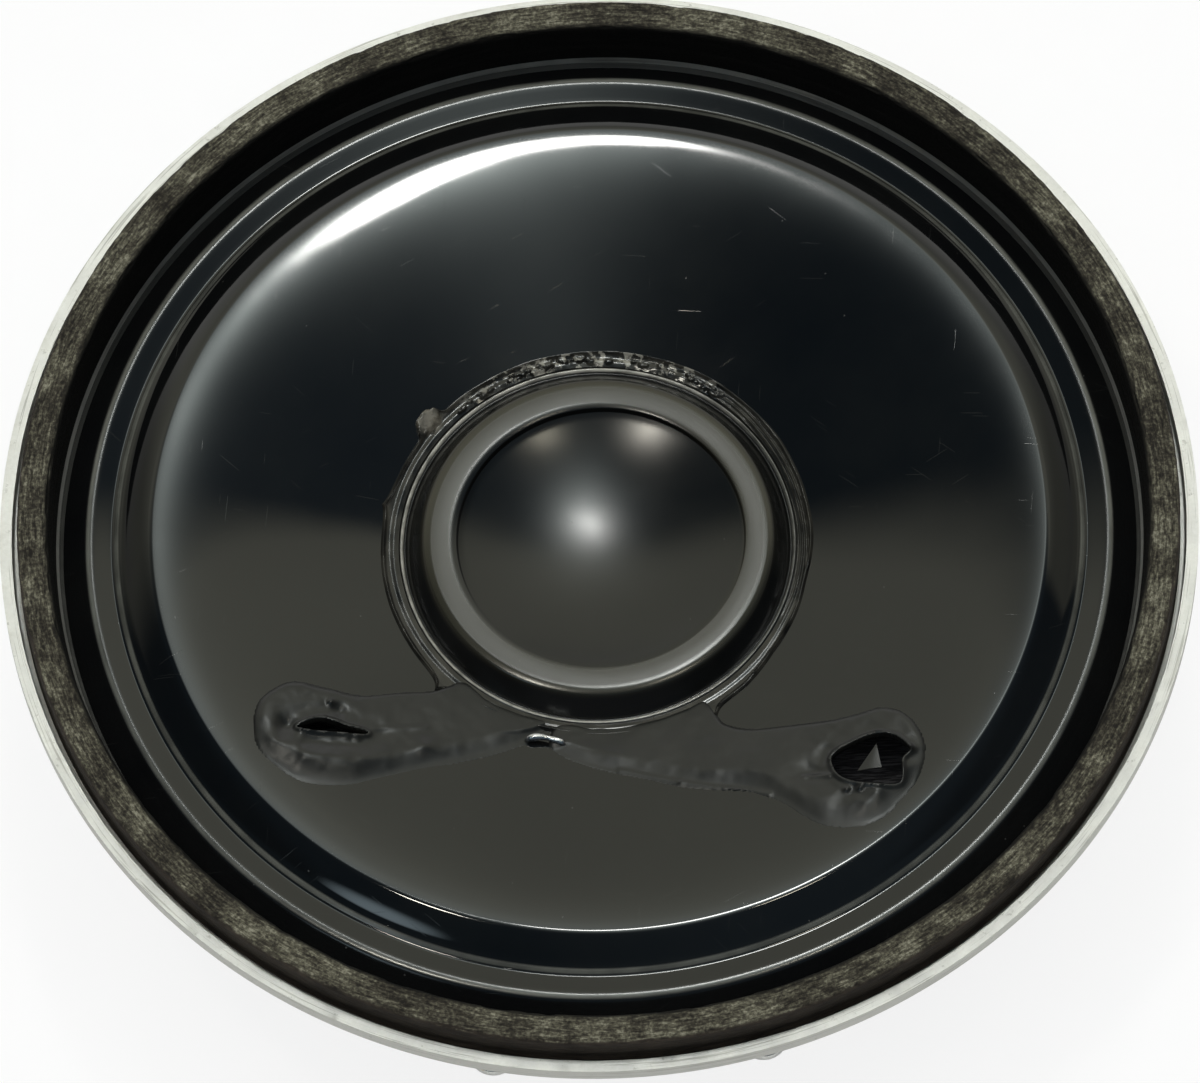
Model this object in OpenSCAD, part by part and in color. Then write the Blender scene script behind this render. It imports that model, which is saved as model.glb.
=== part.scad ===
// Small round loudspeaker driver with a pressed steel frame and a one-piece plastic film cone.
// Millimetres, +Z towards the listener, origin at the centre of the back plate's rear face.

/* [Frame] */
// Outside diameter over the frame's upturned lip
frame_d = 50; // [49:0.5:52]
// Thickness of the frame's sheet steel
steel_t = 0.5; // [0.4:0.05:0.55]
// Height of the lip's top edge above the shelf
lip_h = 0.7; // [0.5:0.05:0.9]
// Width of the flat shelf that carries the film's rim
shelf_w = 1.55; // [1.5:0.05:1.7]
// Height of the shelf above the frame's floor
dish_h = 4.1; // [4:0.1:5]
// Sideways run of the frame's sloping wall
wall_run = 2; // [1.8:0.1:2.4]
// Diameter of the hole in the middle of the frame's floor
floor_bore_d = 18.4; // [18:0.1:19]
// Number of places round the floor, one of which carries the terminals
vent_places = 6; // [5:1:6]
// Radial width of a vent window
vent_w = 3.8; // [3:0.1:3.9]
// Angle between the centres of a vent window's round ends
vent_angle = 34; // [20:1:36]

/* [Gasket] */
// Radial width of the card ring on the front
gasket_w = 1.35; // [1.3:0.05:1.5]
// Thickness of the card ring
gasket_t = 1.65; // [1.2:0.05:2]
// Gap between the card ring and the frame's lip
gasket_gap = 0.25; // [0.1:0.05:0.3]

/* [Film] */
// Thickness of the diaphragm film
film_t = 0.12; // [0.1:0.01:0.14]
// Radius of the raised band's outer corner
band_outer_r = 21.22; // [21.1:0.01:21.3]
// Radius of the raised band's inner corner
band_inner_r = 20.24; // [20.2:0.01:20.4]
// Radius of the crest at the edge of the cone
crest_r = 18.62; // [18.5:0.01:18.7]
// Height of the crest above the film's rim
crest_h = 0.45; // [0.3:0.05:0.5]
// Depth of the outer groove below the film's rim
outer_groove = 0.75; // [0.6:0.05:0.8]
// Depth of the inner groove below the film's rim
inner_groove = 0.3; // [0.25:0.05:0.4]
// Slope of the cone in degrees
cone_angle = 12.3; // [11:0.1:13]

/* [Dust cap] */
// Thickness of the dust cap's film
cap_t = 0.15; // [0.12:0.01:0.18]
// Radius of the foot of the cap's wall
cap_foot_r = 8.15; // [8.1:0.01:8.25]
// Radius of the cap's shoulder
cap_shoulder_r = 7.15; // [7.1:0.01:7.2]
// Radius of the crease round the cap's dished middle
crease_r = 5.95; // [5.8:0.05:6.1]
// Depth of the cap's dished middle below its crease
cap_dish = 1; // [0.7:0.05:1.2]

/* [Voice coil] */
// Travel of the cone to each side of rest
travel = 0.5; // [0.3:0.05:0.5]
// Inner radius of the paper former
former_r = 7.1; // [7.05:0.01:7.12]
// Wall thickness of the paper former
former_t = 0.1; // [0.08:0.01:0.12]
// Radial thickness of the two-layer winding
coil_t = 0.24; // [0.2:0.01:0.26]
// Height of the winding
coil_h = 4.2; // [3.6:0.1:4.6]

/* [Magnet] */
// Diameter of the magnet ring
magnet_d = 28; // [27.5:0.1:28.4]
// Bore of the magnet ring
magnet_bore_d = 17.2; // [16.8:0.1:17.6]
// Thickness of the magnet ring with its two glue lines
magnet_t = 5; // [4.8:0.1:6]
// Diameter of the top plate and of the back plate
plate_d = 26; // [25.6:0.1:26.4]
// Thickness of the top plate
plate_t = 2; // [1.8:0.1:2.2]
// Bore of the top plate
plate_bore_d = 15.5; // [15.4:0.02:15.7]
// Thickness of the back plate
back_t = 2; // [1.8:0.1:2.4]
// Diameter of the pole piece
pole_d = 13.5; // [13.4:0.02:13.6]

/* [Terminals] */
// Width of the terminal board
board_w = 16.4; // [16:0.1:17]
// Thickness of the terminal board
board_t = 1; // [0.8:0.05:1.2]
// Half the distance between the two terminals
terminal_x = 5.6; // [5.4:0.1:5.8]
// Distance of the terminals from the driver's axis
terminal_y = 17; // [16.8:0.1:17.2]
// Width of a terminal lug
lug_w = 2; // [1.8:0.1:2.2]
// Thickness of a terminal lug
lug_t = 0.4; // [0.3:0.05:0.5]
// Diameter of the wire hole in a lug
lug_hole_d = 1.3; // [1.1:0.1:1.4]
// Diameter of the lead wires
lead_d = 0.2; // [0.16:0.02:0.24]

/* [Hidden] */
$fn = 96;

// Largest turn in degrees between two points of a rounded corner
bend_step = 12;
// Thickness of the adhesive lines under the film's rim and on both faces of the magnet
glue_t = 0.05;
// Clearance of the riveted and staked shanks in their holes
shank_gap = 0.02;

// Heights from the rear face of the back plate
z_magnet = back_t;
z_plate = z_magnet + magnet_t;
z_floor = z_plate + plate_t;
z_floor_top = z_floor + steel_t;
z_shelf = z_floor_top + dish_h;
z_rim = z_shelf + glue_t + film_t;
z_coil = z_plate + plate_t / 2 - coil_h / 2;
z_former = z_coil - 0.2;
z_board = z_floor - board_t;
z_lug = z_board - lug_t;

// Radii worked out from the outside diameter
lip_r = frame_d / 2 - steel_t;
shelf_r = lip_r - shelf_w;
gasket_r = lip_r - gasket_gap;
gasket_inner_r = gasket_r - gasket_w;
wall_foot_r = shelf_r - wall_run;
vent_r = (plate_d / 2 + wall_foot_r) / 2;
stake_r = 11.2;
stake_size = 1;
coil_r = former_r + former_t;
neck_r = coil_r + shank_gap;
neck_glue_w = 0.8;
bead_r = cap_foot_r + 0.85;
brim_r = cap_foot_r + 0.45;
cone_edge_r = crest_r - 0.15;
cone_bend_r = 14.5;
cone_vertex_r = cone_edge_r - cone_bend_r * tan(cone_angle / 2) - 0.05;

// Sizes of the small terminal parts
eyelet_r = 0.9;
eyelet_bore_r = 0.6;
eyelet_flange_t = 0.15;
eyelet_clear_r = 1.9;
rivet_r = 0.8;
solder_r = 1.25;
solder_sink = 0.35;
lug_tip_y = terminal_y + 3.9;
lead_hole_r = 0.7;

// Where the leads leave the glue bead, run along the cone and pass through the film
hole_left = [-11.8, -7.6];
hole_right = [10.5, -11.1];
blob_left = [-12.4, -8];
blob_right = [10.4, -11.2];
strip_left = [-3.2, -9.4];
strip_right = [-1.4, -9.6];

// Functions for outlines and for tubes

function unit(v) = v / norm(v);
function side(v) = [-v[1], v[0]];
function turned(v, a) = [v[0] * cos(a) - v[1] * sin(a), v[0] * sin(a) + v[1] * cos(a)];
function flat(p) = [p[0], p[1]];
function joined(lists) = [for (part = lists) for (p = part) p];
function reversed(path) = [for (i = [len(path) - 1:-1:0]) path[i]];
function polar(r, a) = [r * cos(a), r * sin(a)];

// Signed turn in degrees from direction u to direction v
function turn(u, v) = atan2(u[0] * v[1] - u[1] * v[0], u * v);

// The corner b = [r, z, radius] between points a and c, as points of its arc
function corner(a, b, c) =
  let (
    u = unit(flat(b) - flat(a)),
    v = unit(flat(c) - flat(b)),
    sweep = turn(u, v),
    start = flat(b) - u * b[2] * tan(abs(sweep) / 2),
    centre = start + side(u) * b[2] * sign(sweep),
    n = max(1, ceil(abs(sweep) / bend_step))
  )
  [for (i = [0:n]) centre + turned(start - centre, sweep * i / n)];

// A path through [r, z, radius] corners, with its two ends left square
function rounded(p) =
  joined([
    [flat(p[0])],
    joined([for (i = [1:len(p) - 2]) corner(p[i - 1], p[i], p[i + 1])]),
    [flat(p[len(p) - 1])]
  ]);

// Unit normal at point i of a path, on the path's left
function normal_at(p, i) =
  let (
    before = i > 0 ? unit(p[i] - p[i - 1]) : unit(p[1] - p[0]),
    after = i < len(p) - 1 ? unit(p[i + 1] - p[i]) : before
  )
  side(unit(before + after)) / cos(turn(before, after) / 2);

// The path moved t to its left
function moved(p, t) = [for (i = [0:len(p) - 1]) p[i] + normal_at(p, i) * t];

// Points of an arc from a to b that bulges h to the left of the way
function bulge(a, b, h, n = 6) =
  let (
    half = norm(b - a) / 2,
    r = (half * half + h * h) / (2 * h),
    middle = (a + b) / 2 + side(unit(b - a)) * (h - r),
    sweep = turn(b - middle, a - middle)
  )
  [for (i = [0:n]) middle + turned(a - middle, -sweep * i / n)];

// Outline round two circles that a strip joins
function teardrop(c0, r0, c1, r1, n = 16) =
  let (
    way = c1 - c0,
    heading = atan2(way[1], way[0]),
    open = acos((r0 - r1) / norm(way))
  )
  concat(
    [for (i = [0:n]) c0 + polar(r0, heading + open + (360 - 2 * open) * i / n)],
    [for (i = [0:n]) c1 + polar(r1, heading - open + 2 * open * i / n)]
  );

// A smooth curve through points, with a few steps from one to the next
function smooth(p, steps = 4) =
  let (last = len(p) - 1)
  concat(
    [for (i = [0:last - 1]) for (k = [0:steps - 1])
      let (
        t = k / steps,
        a = p[max(i - 1, 0)],
        b = p[i],
        c = p[i + 1],
        d = p[min(i + 2, last)]
      )
      (2 * b + (c - a) * t + (2 * a - 5 * b + 4 * c - d) * t * t
        + (3 * b - 3 * c + d - a) * t * t * t) / 2],
    [p[last]]
  );

// Direction of a route at point i
function heading_at(p, i) = unit(p[min(i + 1, len(p) - 1)] - p[max(i - 1, 0)]);

// Part of vector n that is square to direction u
function squared(n, u) = unit(n - u * (n * u));

// Ring normals carried along a route without twisting
function carried(p) =
  [for (i = 0, n = squared([0.9, 0.3, 0.2], heading_at(p, 0)); i < len(p);
    i = i + 1, n = squared(n, heading_at(p, min(i, len(p) - 1)))) n];

// Modules that the parts share

module wire(route, d, sides = 8) {
  normals = carried(route);
  rings = [for (i = [0:len(route) - 1]) for (k = [0:sides - 1])
    let (u = heading_at(route, i), n = normals[i], a = 360 * k / sides)
    route[i] + (n * cos(a) + cross(u, n) * sin(a)) * d / 2];
  top = (len(route) - 1) * sides;
  walls = [for (i = [0:len(route) - 2]) for (k = [0:sides - 1])
    let (a = i * sides + k, b = i * sides + (k + 1) % sides)
    [a, a + sides, b + sides, b]];
  ends = [[for (k = [0:sides - 1]) k], [for (k = [sides - 1:-1:0]) top + k]];
  polyhedron(rings, concat(walls, ends));
}

// A wall of revolution, t thick on the left of its path
module revolved_wall(path, t) {
  rotate_extrude() polygon(concat(path, reversed(moved(path, t))));
}

// A flat ring between two radii, with small chamfers on its outer corners
module ring(r0, r1, z0, z1, chamfer = 0) {
  rotate_extrude()
    polygon([
      [r0, z0], [r1 - chamfer, z0], [r1, z0 + chamfer],
      [r1, z1 - chamfer], [r1 - chamfer, z1], [r0, z1]
    ]);
}

// Sides of the driver where a row of like parts goes: the terminals face -Y
module at_terminal(s) {
  translate([s * terminal_x, -terminal_y, 0]) children();
}

// Surfaces of the film, as the height of its front face at radius r

function cone_z(r) = z_rim + crest_h - (cone_vertex_r - r) * tan(cone_angle);
function over_film(p, lift) = [p[0], p[1], cone_z(norm(p)) + lift];

surround_path = rounded([
  [gasket_inner_r, z_rim],
  [gasket_inner_r - 0.2, z_rim, 0.2],
  [gasket_inner_r - 0.45, z_rim - outer_groove, 0.25],
  [band_outer_r + 0.5, z_rim - outer_groove, 0.25],
  [band_outer_r, z_rim - 0.1, 0.2],
  [band_inner_r, z_rim - 0.14, 0.2],
  [band_inner_r - 0.2, z_rim - inner_groove, 0.08],
  [crest_r, z_rim + crest_h, 0.2],
  [cone_edge_r, z_rim + crest_h]
]);

cone_path = rounded([
  [cone_edge_r, z_rim + crest_h],
  [cone_vertex_r, z_rim + crest_h, cone_bend_r],
  [neck_r, cone_z(neck_r)]
]);

cap_top = z_rim - 0.14;
crease_z = z_rim - 0.45;
cap_path = concat(
  rounded([
    [brim_r, cone_z(brim_r) + cap_t + shank_gap],
    [cap_foot_r, cone_z(cap_foot_r) + cap_t + shank_gap, 0.15],
    [cap_shoulder_r, cap_top - 0.1, 0.35],
    [crease_r + 0.3, cap_top, 0.25],
    [crease_r, crease_z]
  ]),
  [for (i = [1:10])
    let (
      r = (crease_r * crease_r + cap_dish * cap_dish) / (2 * cap_dish),
      half = asin(crease_r / r),
      a = half * (1 - i / 10)
    )
    [r * sin(a), crease_z - cap_dish + r * (1 - cos(a))]]
);

frame_path = rounded([
  [floor_bore_d / 2, z_floor_top],
  [wall_foot_r, z_floor_top, 0.8],
  [shelf_r, z_shelf, 0.7],
  [lip_r, z_shelf, 0.12],
  [lip_r, z_shelf + lip_h]
]);

// Frame: a pressed dish with a shelf, an upturned lip, vents and rivet holes

module vent_cut() {
  depth = 3 * steel_t;
  translate([0, 0, z_floor - steel_t]) {
    rotate([0, 0, -vent_angle / 2])
      rotate_extrude(angle = vent_angle)
        translate([vent_r - vent_w / 2, 0]) square([vent_w, depth]);
    for (s = [-1, 1])
      rotate([0, 0, s * vent_angle / 2])
        translate([vent_r, 0, 0]) cylinder(h = depth, d = vent_w);
  }
}

module at_stakes() {
  for (i = [0:3]) rotate([0, 0, 45 + 90 * i]) translate([stake_r, 0, 0]) children();
}

module frame() {
  cut_z = z_floor - steel_t;
  cut_h = 3 * steel_t;
  color("silver") difference() {
    revolved_wall(frame_path, -steel_t);
    for (i = [1:vent_places - 1])
      rotate([0, 0, -90 + 360 * i / vent_places]) vent_cut();
    at_stakes() translate([0, 0, cut_z]) cylinder(h = cut_h, r = stake_size + shank_gap);
    for (s = [-1, 1])
      at_terminal(s) translate([0, 0, cut_z]) cylinder(h = cut_h, r = eyelet_clear_r);
    translate([0, -terminal_y, cut_z]) cylinder(h = cut_h, r = rivet_r + shank_gap);
  }
}

// Non-woven cloth glued over the vents inside the dish
module damping_cloth() {
  cloth_t = 0.3;
  cloth_inner_r = stake_r + stake_size + 0.6;
  color("dimgray") difference() {
    ring(cloth_inner_r, wall_foot_r - 0.6, z_floor_top, z_floor_top + cloth_t);
    translate([-board_w / 2, -wall_foot_r, z_floor_top - 1])
      cube([board_w, wall_foot_r, 2]);
  }
}

// Clamped edge of the diaphragm, and what holds it

module rim_adhesive() {
  color("tan") ring(shelf_r + 0.5, gasket_r, z_shelf, z_shelf + glue_t);
}

module film_rim() {
  color("black") ring(gasket_inner_r, gasket_r, z_rim - film_t, z_rim);
}

module front_gasket() {
  soft = 0.12;
  color("dimgray") rotate_extrude()
    polygon(rounded([
      [gasket_inner_r, z_rim],
      [gasket_r, z_rim, 0.05],
      [gasket_r, z_rim + gasket_t, soft],
      [gasket_inner_r, z_rim + gasket_t, soft],
      [gasket_inner_r, z_rim + 0.01]
    ]));
}

// Surround of the film, which flexes as the cone moves
module film_surround() {
  color([0.1, 0.11, 0.12]) revolved_wall(surround_path, film_t);
}

// Cone of the film, with the two holes where the leads pass through it
module film_cone() {
  color([0.12, 0.12, 0.12]) difference() {
    revolved_wall(cone_path, film_t);
    for (p = [hole_left, hole_right])
      translate([p[0], p[1], z_rim - 3]) cylinder(h = 5, r = lead_hole_r);
  }
}

module dust_cap() {
  bottom = moved(cap_path, cap_t);
  apex = len(bottom) - 1;
  inner = [for (i = [0:apex - 1]) bottom[i]];
  color([0.18, 0.18, 0.16]) rotate_extrude()
    polygon(concat(cap_path, [[0, cap_path[apex][1] - cap_t]], reversed(inner)));
}

// Bead of clear adhesive over the brim of the cap
module cap_adhesive() {
  brim_z = cap_t + 2 * shank_gap;
  brim_end = brim_r + cap_t / 2;
  inner_r = cap_foot_r + 0.2;
  color([0.35, 0.35, 0.32]) rotate_extrude()
    polygon(concat(
      [
        [inner_r, cone_z(inner_r) + brim_z],
        [brim_end, cone_z(brim_end) + brim_z],
        [brim_end, cone_z(brim_end) + shank_gap / 2]
      ],
      bulge([bead_r, cone_z(bead_r) + shank_gap / 2], [inner_r, cone_z(inner_r) + brim_z + 0.1], -0.2)
    ));
}

// Fillet of adhesive between the paper former and the back of the cone
module neck_adhesive() {
  under = film_t / cos(cone_angle) + shank_gap / 2;
  wide_r = neck_r + neck_glue_w;
  color("tan") rotate_extrude()
    polygon([
      [neck_r, cone_z(neck_r) - under],
      [wide_r, cone_z(wide_r) - under],
      [neck_r, cone_z(neck_r) - under - neck_glue_w]
    ]);
}

module coil_former() {
  color("burlywood") ring(former_r, coil_r, z_former, cone_z(neck_r) + 0.2);
}

module voice_coil() {
  color("peru") ring(coil_r, coil_r + coil_t, z_coil, z_coil + coil_h);
}

// Magnet system: top plate staked to the frame, ring magnet, back plate and pole piece

module top_plate() {
  head_t = 0.25;
  color("gainsboro") {
    ring(plate_bore_d / 2, plate_d / 2, z_plate, z_floor, 0.2);
    at_stakes() {
      translate([0, 0, z_floor - 0.5]) cylinder(h = 0.5 + steel_t, r = stake_size);
      translate([0, 0, z_floor_top]) cylinder(h = head_t, r1 = stake_size + 0.35, r2 = stake_size);
    }
  }
}

// Glue line with the fillet that squeezes out on the magnet's face
module magnet_glue(z, up) {
  fillet = 0.4;
  base = up > 0 ? z : z + glue_t;
  rotate_extrude()
    polygon([
      [magnet_bore_d / 2 + 0.5, base],
      [plate_d / 2 + fillet, base],
      [plate_d / 2 + shank_gap, base + up * (glue_t + fillet)],
      [plate_d / 2 + shank_gap, base + up * glue_t],
      [magnet_bore_d / 2 + 0.5, base + up * glue_t]
    ]);
}

module magnet_glue_front() {
  color("darkslategray") magnet_glue(z_plate - glue_t, 1);
}

module magnet_glue_rear() {
  color("darkslategray") magnet_glue(z_magnet, -1);
}

module magnet_ring() {
  color([0.2, 0.2, 0.21])
    ring(magnet_bore_d / 2, magnet_d / 2, z_magnet + glue_t, z_plate - glue_t, 0.35);
}

spigot_r = 3.5;
swage_depth = 0.5;
swage_r = spigot_r + swage_depth;
swage_recess = 0.1;

module back_plate() {
  color("gainsboro") difference() {
    ring(spigot_r, plate_d / 2, 0, back_t, 0.3);
    translate([0, 0, -0.01])
      cylinder(h = swage_depth + 0.01, r1 = swage_r, r2 = spigot_r);
  }
}

module pole_piece() {
  pole_top = z_floor + 0.2;
  edge = 0.3;
  slack = 0.01;
  color("gainsboro") rotate_extrude()
    polygon([
      [0, swage_recess],
      [swage_r - swage_recess - slack, swage_recess],
      [spigot_r - slack, swage_depth],
      [spigot_r - slack, back_t],
      [pole_d / 2, back_t],
      [pole_d / 2, pole_top - edge],
      [pole_d / 2 - edge, pole_top],
      [0, pole_top]
    ]);
}

// Terminal board riveted under the floor, with its lugs, eyelets and solder

module terminal_board() {
  board_inner_y = plate_d / 2 + 1.4;
  board_outer_r = wall_foot_r - 0.9;
  color("saddlebrown") difference() {
    intersection() {
      translate([-board_w / 2, -board_outer_r, z_board])
        cube([board_w, board_outer_r - board_inner_y, board_t]);
      translate([0, 0, z_board]) cylinder(h = board_t, r = board_outer_r);
    }
    for (s = [-1, 1])
      at_terminal(s) translate([0, 0, z_board - 1])
        cylinder(h = board_t + 2, r = eyelet_r + shank_gap);
    translate([0, -terminal_y, z_board - 1])
      cylinder(h = board_t + 2, r = rivet_r + shank_gap);
  }
}

module board_rivet() {
  head_t = 0.25;
  color("silver") translate([0, -terminal_y, 0]) rotate_extrude()
    polygon([
      [0, z_board - head_t],
      [rivet_r + 0.5, z_board - head_t],
      [rivet_r + 0.7, z_board],
      [rivet_r, z_board],
      [rivet_r, z_floor_top],
      [rivet_r + 0.8, z_floor_top],
      [rivet_r + 0.6, z_floor_top + head_t],
      [0, z_floor_top + head_t]
    ]);
}

module terminal_eyelets() {
  color("silver") for (s = [-1, 1])
    at_terminal(s) rotate_extrude()
      polygon([
        [eyelet_bore_r, z_lug - eyelet_flange_t],
        [eyelet_r + 0.35, z_lug - eyelet_flange_t],
        [eyelet_r + 0.35, z_lug],
        [eyelet_r, z_lug],
        [eyelet_r, z_floor],
        [eyelet_r + 0.55, z_floor],
        [eyelet_r + 0.55, z_floor + eyelet_flange_t],
        [eyelet_bore_r, z_floor + eyelet_flange_t]
      ]);
}

module terminal_lug(s) {
  head_r = 1.6;
  tip_reach = lug_tip_y - terminal_y;
  color("lightgray") at_terminal(s) translate([0, 0, z_lug]) difference() {
    linear_extrude(lug_t) union() {
      circle(r = head_r);
      translate([-lug_w / 2, -tip_reach]) square([lug_w, tip_reach]);
      translate([0, -tip_reach]) circle(d = lug_w);
    }
    translate([0, 0, -1]) cylinder(h = lug_t + 2, r = eyelet_r + shank_gap);
    translate([0, -tip_reach, -1]) cylinder(h = lug_t + 2, d = lug_hole_d);
  }
}

module terminal_lug_left() {
  terminal_lug(-1);
}

module terminal_lug_right() {
  terminal_lug(1);
}

module solder_joint(s) {
  flange_r = eyelet_r + 0.35 + shank_gap;
  flange_h = eyelet_flange_t + shank_gap;
  color("lightgray") at_terminal(s) difference() {
    translate([0, 0, z_lug + solder_sink]) sphere(r = solder_r + solder_sink);
    translate([-5, -5, z_lug - 0.005]) cube([10, 10, 5]);
    translate([0, 0, z_lug - flange_h]) cylinder(h = 1, r = flange_r);
  }
}

module solder_joint_left() {
  solder_joint(-1);
}

module solder_joint_right() {
  solder_joint(1);
}

// Lead wires: from the winding over the front of the cone, then free behind it to the eyelets

coil_exit_r = coil_r + lead_d / 2 + 0.01;

function coil_lead(exit_angle, start, waypoint, hole) =
  smooth([
    [each polar(coil_exit_r, exit_angle), z_coil + coil_h],
    [each polar(coil_exit_r, exit_angle), z_coil + coil_h + 1],
    over_film(polar(coil_exit_r + 0.3, exit_angle), 0.15),
    over_film(polar(bead_r, exit_angle), 0.3),
    over_film(start, 0.15),
    over_film(waypoint, 0.15),
    over_film((hole * 0.97 + waypoint * 0.03), 0.2),
    over_film(hole, -0.1),
    over_film(hole, -0.5)
  ]);

function flying_lead(s, hole, waypoint) =
  smooth([
    over_film(hole, -0.5),
    over_film(hole, -0.9),
    [each waypoint, z_floor_top + 1.3 + travel],
    [s * terminal_x, -terminal_y, z_floor_top + 0.7],
    [s * terminal_x, -terminal_y, z_floor],
    [s * terminal_x, -terminal_y, z_lug - 0.4]
  ]);

module coil_lead_left() {
  color("sienna") wire(coil_lead(251, [-4.4, -9.3], [-8, -9], hole_left), lead_d);
}

module coil_lead_right() {
  color("sienna") wire(coil_lead(256, [0.6, -9.7], [6, -10.6], hole_right), lead_d);
}

module flying_lead_left() {
  color("sienna") wire(flying_lead(-1, hole_left, [-8.6, -13.6]), lead_d);
}

module flying_lead_right() {
  color("sienna") wire(flying_lead(1, hole_right, [8.6, -14.6]), lead_d);
}

// A layer of thickness t on the front of the cone, within a flat outline
module on_cone(t) {
  intersection() {
    translate([0, 0, z_rim - 4]) linear_extrude(8) children();
    revolved_wall(moved(cone_path, -shank_gap / 2), -t);
  }
}

// Cured adhesive that holds each lead down on the cone, thick where the lead goes through
module lead_adhesive(hole, blob, blob_r, strip) {
  strip_t = 0.35;
  blob_t = 0.6;
  strip_r = 0.6;
  slope_w = 0.7;
  difference() {
    union() {
      on_cone(strip_t) polygon(teardrop(blob, blob_r, strip, strip_r));
      on_cone(blob_t) translate(blob) circle(r = blob_r - slope_w);
    }
    translate([hole[0], hole[1], z_rim - 4]) cylinder(h = 8, r = lead_hole_r);
    translate([0, 0, z_rim - 4]) cylinder(h = 8, r = bead_r + shank_gap);
  }
}

module lead_adhesive_left() {
  color([0.16, 0.15, 0.13]) lead_adhesive(hole_left, blob_left, 2.4, strip_left);
}

module lead_adhesive_right() {
  color([0.16, 0.15, 0.13]) lead_adhesive(hole_right, blob_right, 2.7, strip_right);
}

frame();
rim_adhesive();
film_rim();
film_surround();
front_gasket();
damping_cloth();
top_plate();
magnet_glue_front();
magnet_ring();
magnet_glue_rear();
back_plate();
pole_piece();
terminal_board();
board_rivet();
terminal_eyelets();
terminal_lug_left();
terminal_lug_right();
solder_joint_left();
solder_joint_right();
flying_lead_left();
flying_lead_right();
film_cone();
dust_cap();
cap_adhesive();
neck_adhesive();
coil_former();
voice_coil();
coil_lead_left();
coil_lead_right();
lead_adhesive_left();
lead_adhesive_right();
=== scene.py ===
"""Looks of a small round loudspeaker driver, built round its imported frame.

Sizes are millimetres in the driver's own frame. A mesh is written in metres, where it is made.
"""

import math

import bmesh
import bpy
import numpy as np
from mathutils import Matrix, Vector


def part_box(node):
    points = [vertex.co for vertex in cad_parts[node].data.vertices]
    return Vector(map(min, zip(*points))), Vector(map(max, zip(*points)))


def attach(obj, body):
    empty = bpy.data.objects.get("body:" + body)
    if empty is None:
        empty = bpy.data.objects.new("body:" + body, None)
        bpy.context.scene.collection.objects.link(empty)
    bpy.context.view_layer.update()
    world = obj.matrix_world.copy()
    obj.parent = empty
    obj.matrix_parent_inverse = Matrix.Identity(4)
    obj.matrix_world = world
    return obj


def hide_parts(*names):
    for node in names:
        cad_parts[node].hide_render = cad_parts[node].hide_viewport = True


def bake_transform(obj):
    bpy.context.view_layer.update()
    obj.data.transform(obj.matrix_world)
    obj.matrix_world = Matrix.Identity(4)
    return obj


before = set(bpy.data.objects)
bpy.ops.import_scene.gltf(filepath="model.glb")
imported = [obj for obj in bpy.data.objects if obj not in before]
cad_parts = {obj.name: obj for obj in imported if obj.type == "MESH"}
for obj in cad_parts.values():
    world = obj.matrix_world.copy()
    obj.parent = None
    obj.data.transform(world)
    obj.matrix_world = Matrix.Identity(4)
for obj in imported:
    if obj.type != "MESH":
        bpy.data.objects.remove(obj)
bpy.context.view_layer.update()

MM = 0.001


def low(node, axis):
    """Lowest coordinate of a CAD node, in millimetres."""
    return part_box(node)[0][axis] / MM


def high(node, axis):
    """Highest coordinate of a CAD node, in millimetres."""
    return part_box(node)[1][axis] / MM


# Sizes read from the frame
rim_r = high("frame", 0)
z_lip = high("frame", 2)
z_floor = low("frame", 2)
gasket_r = high("front_gasket", 0)
gasket_inner_r = high("film_surround", 0)
z_front = high("front_gasket", 2)
z_rim = high("film_rim", 2)
z_crest = high("film_cone", 2)
film_t = z_rim - low("film_rim", 2)
cone_edge_r = high("film_cone", 0)
bead_r = high("cap_adhesive", 0)
coil_r = high("coil_former", 0)
coil_out_r = high("voice_coil", 0)
z_coil = high("voice_coil", 2)
magnet_r = high("magnet_ring", 0)
plate_r = high("top_plate", 0)
pole_r = high("pole_piece", 0)
z_magnet = high("back_plate", 2)
z_plate = low("top_plate", 2)
z_board = low("terminal_board", 2)
z_lug = low("terminal_lug_left", 2)

# Sizes that the frame's boxes don't give
steel_t = 0.5
floor_bore_r = 9.2
wall_foot_r = 20.95
shelf_r = 22.95
z_floor_top = z_floor + steel_t
z_shelf = z_rim - film_t - 0.05
cone_from_r = cone_edge_r - 0.02
crest_r = cone_edge_r + 0.15
crest_z = z_crest + 0.06
crest_slope = math.tan(math.radians(2.2))
neck_slope = math.tan(math.radians(14.5))
slope_fade = 2.6
neck_r = coil_r + 0.02
step_r = 21.36
ridge_r = 20.18
CARD_FACE = (22.9, 23.25)
CARD_RIM = (23.4, 23.8)
cap_t = 0.15
CAP_CENTRE = (-0.08, 0.0)
foot_ridge_r = 8.21
DROP_ANGLE = 138
DROP_REACH = 9.2
DROP_SIZE, DROP_HEIGHT = 0.46, 0.28
terminal_x = 5.6
terminal_y = 17
stake_r = 11.2
stake_size = 1
vent_r = (plate_r + wall_foot_r) / 2
vent_w = 3.8
vent_angle = 34
magnet_bore_r = 8.6
plate_bore_r = 7.75
swage_r, swage_hole_r = 3.47, 3.5
eyelet_r, eyelet_hole_r, eyelet_clearance_r = 0.9, 0.92, 1.9
rivet_r, rivet_hole_r = 0.8, 0.82
wire_hole_r = 0.65
glue_t = 0.05
lead_r = 0.1

# Camera, fitted to the rings of the driver in the photograph
IMAGE_W = 1200
IMAGE_H = 1083
SENSOR_W = 36
view_tilt = 26.35
view_roll = 3.3
view_distance = 550
pixels_per_mm = 23.96
rim_centre_px = (598.9, 529.3)


# Outlines


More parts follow.
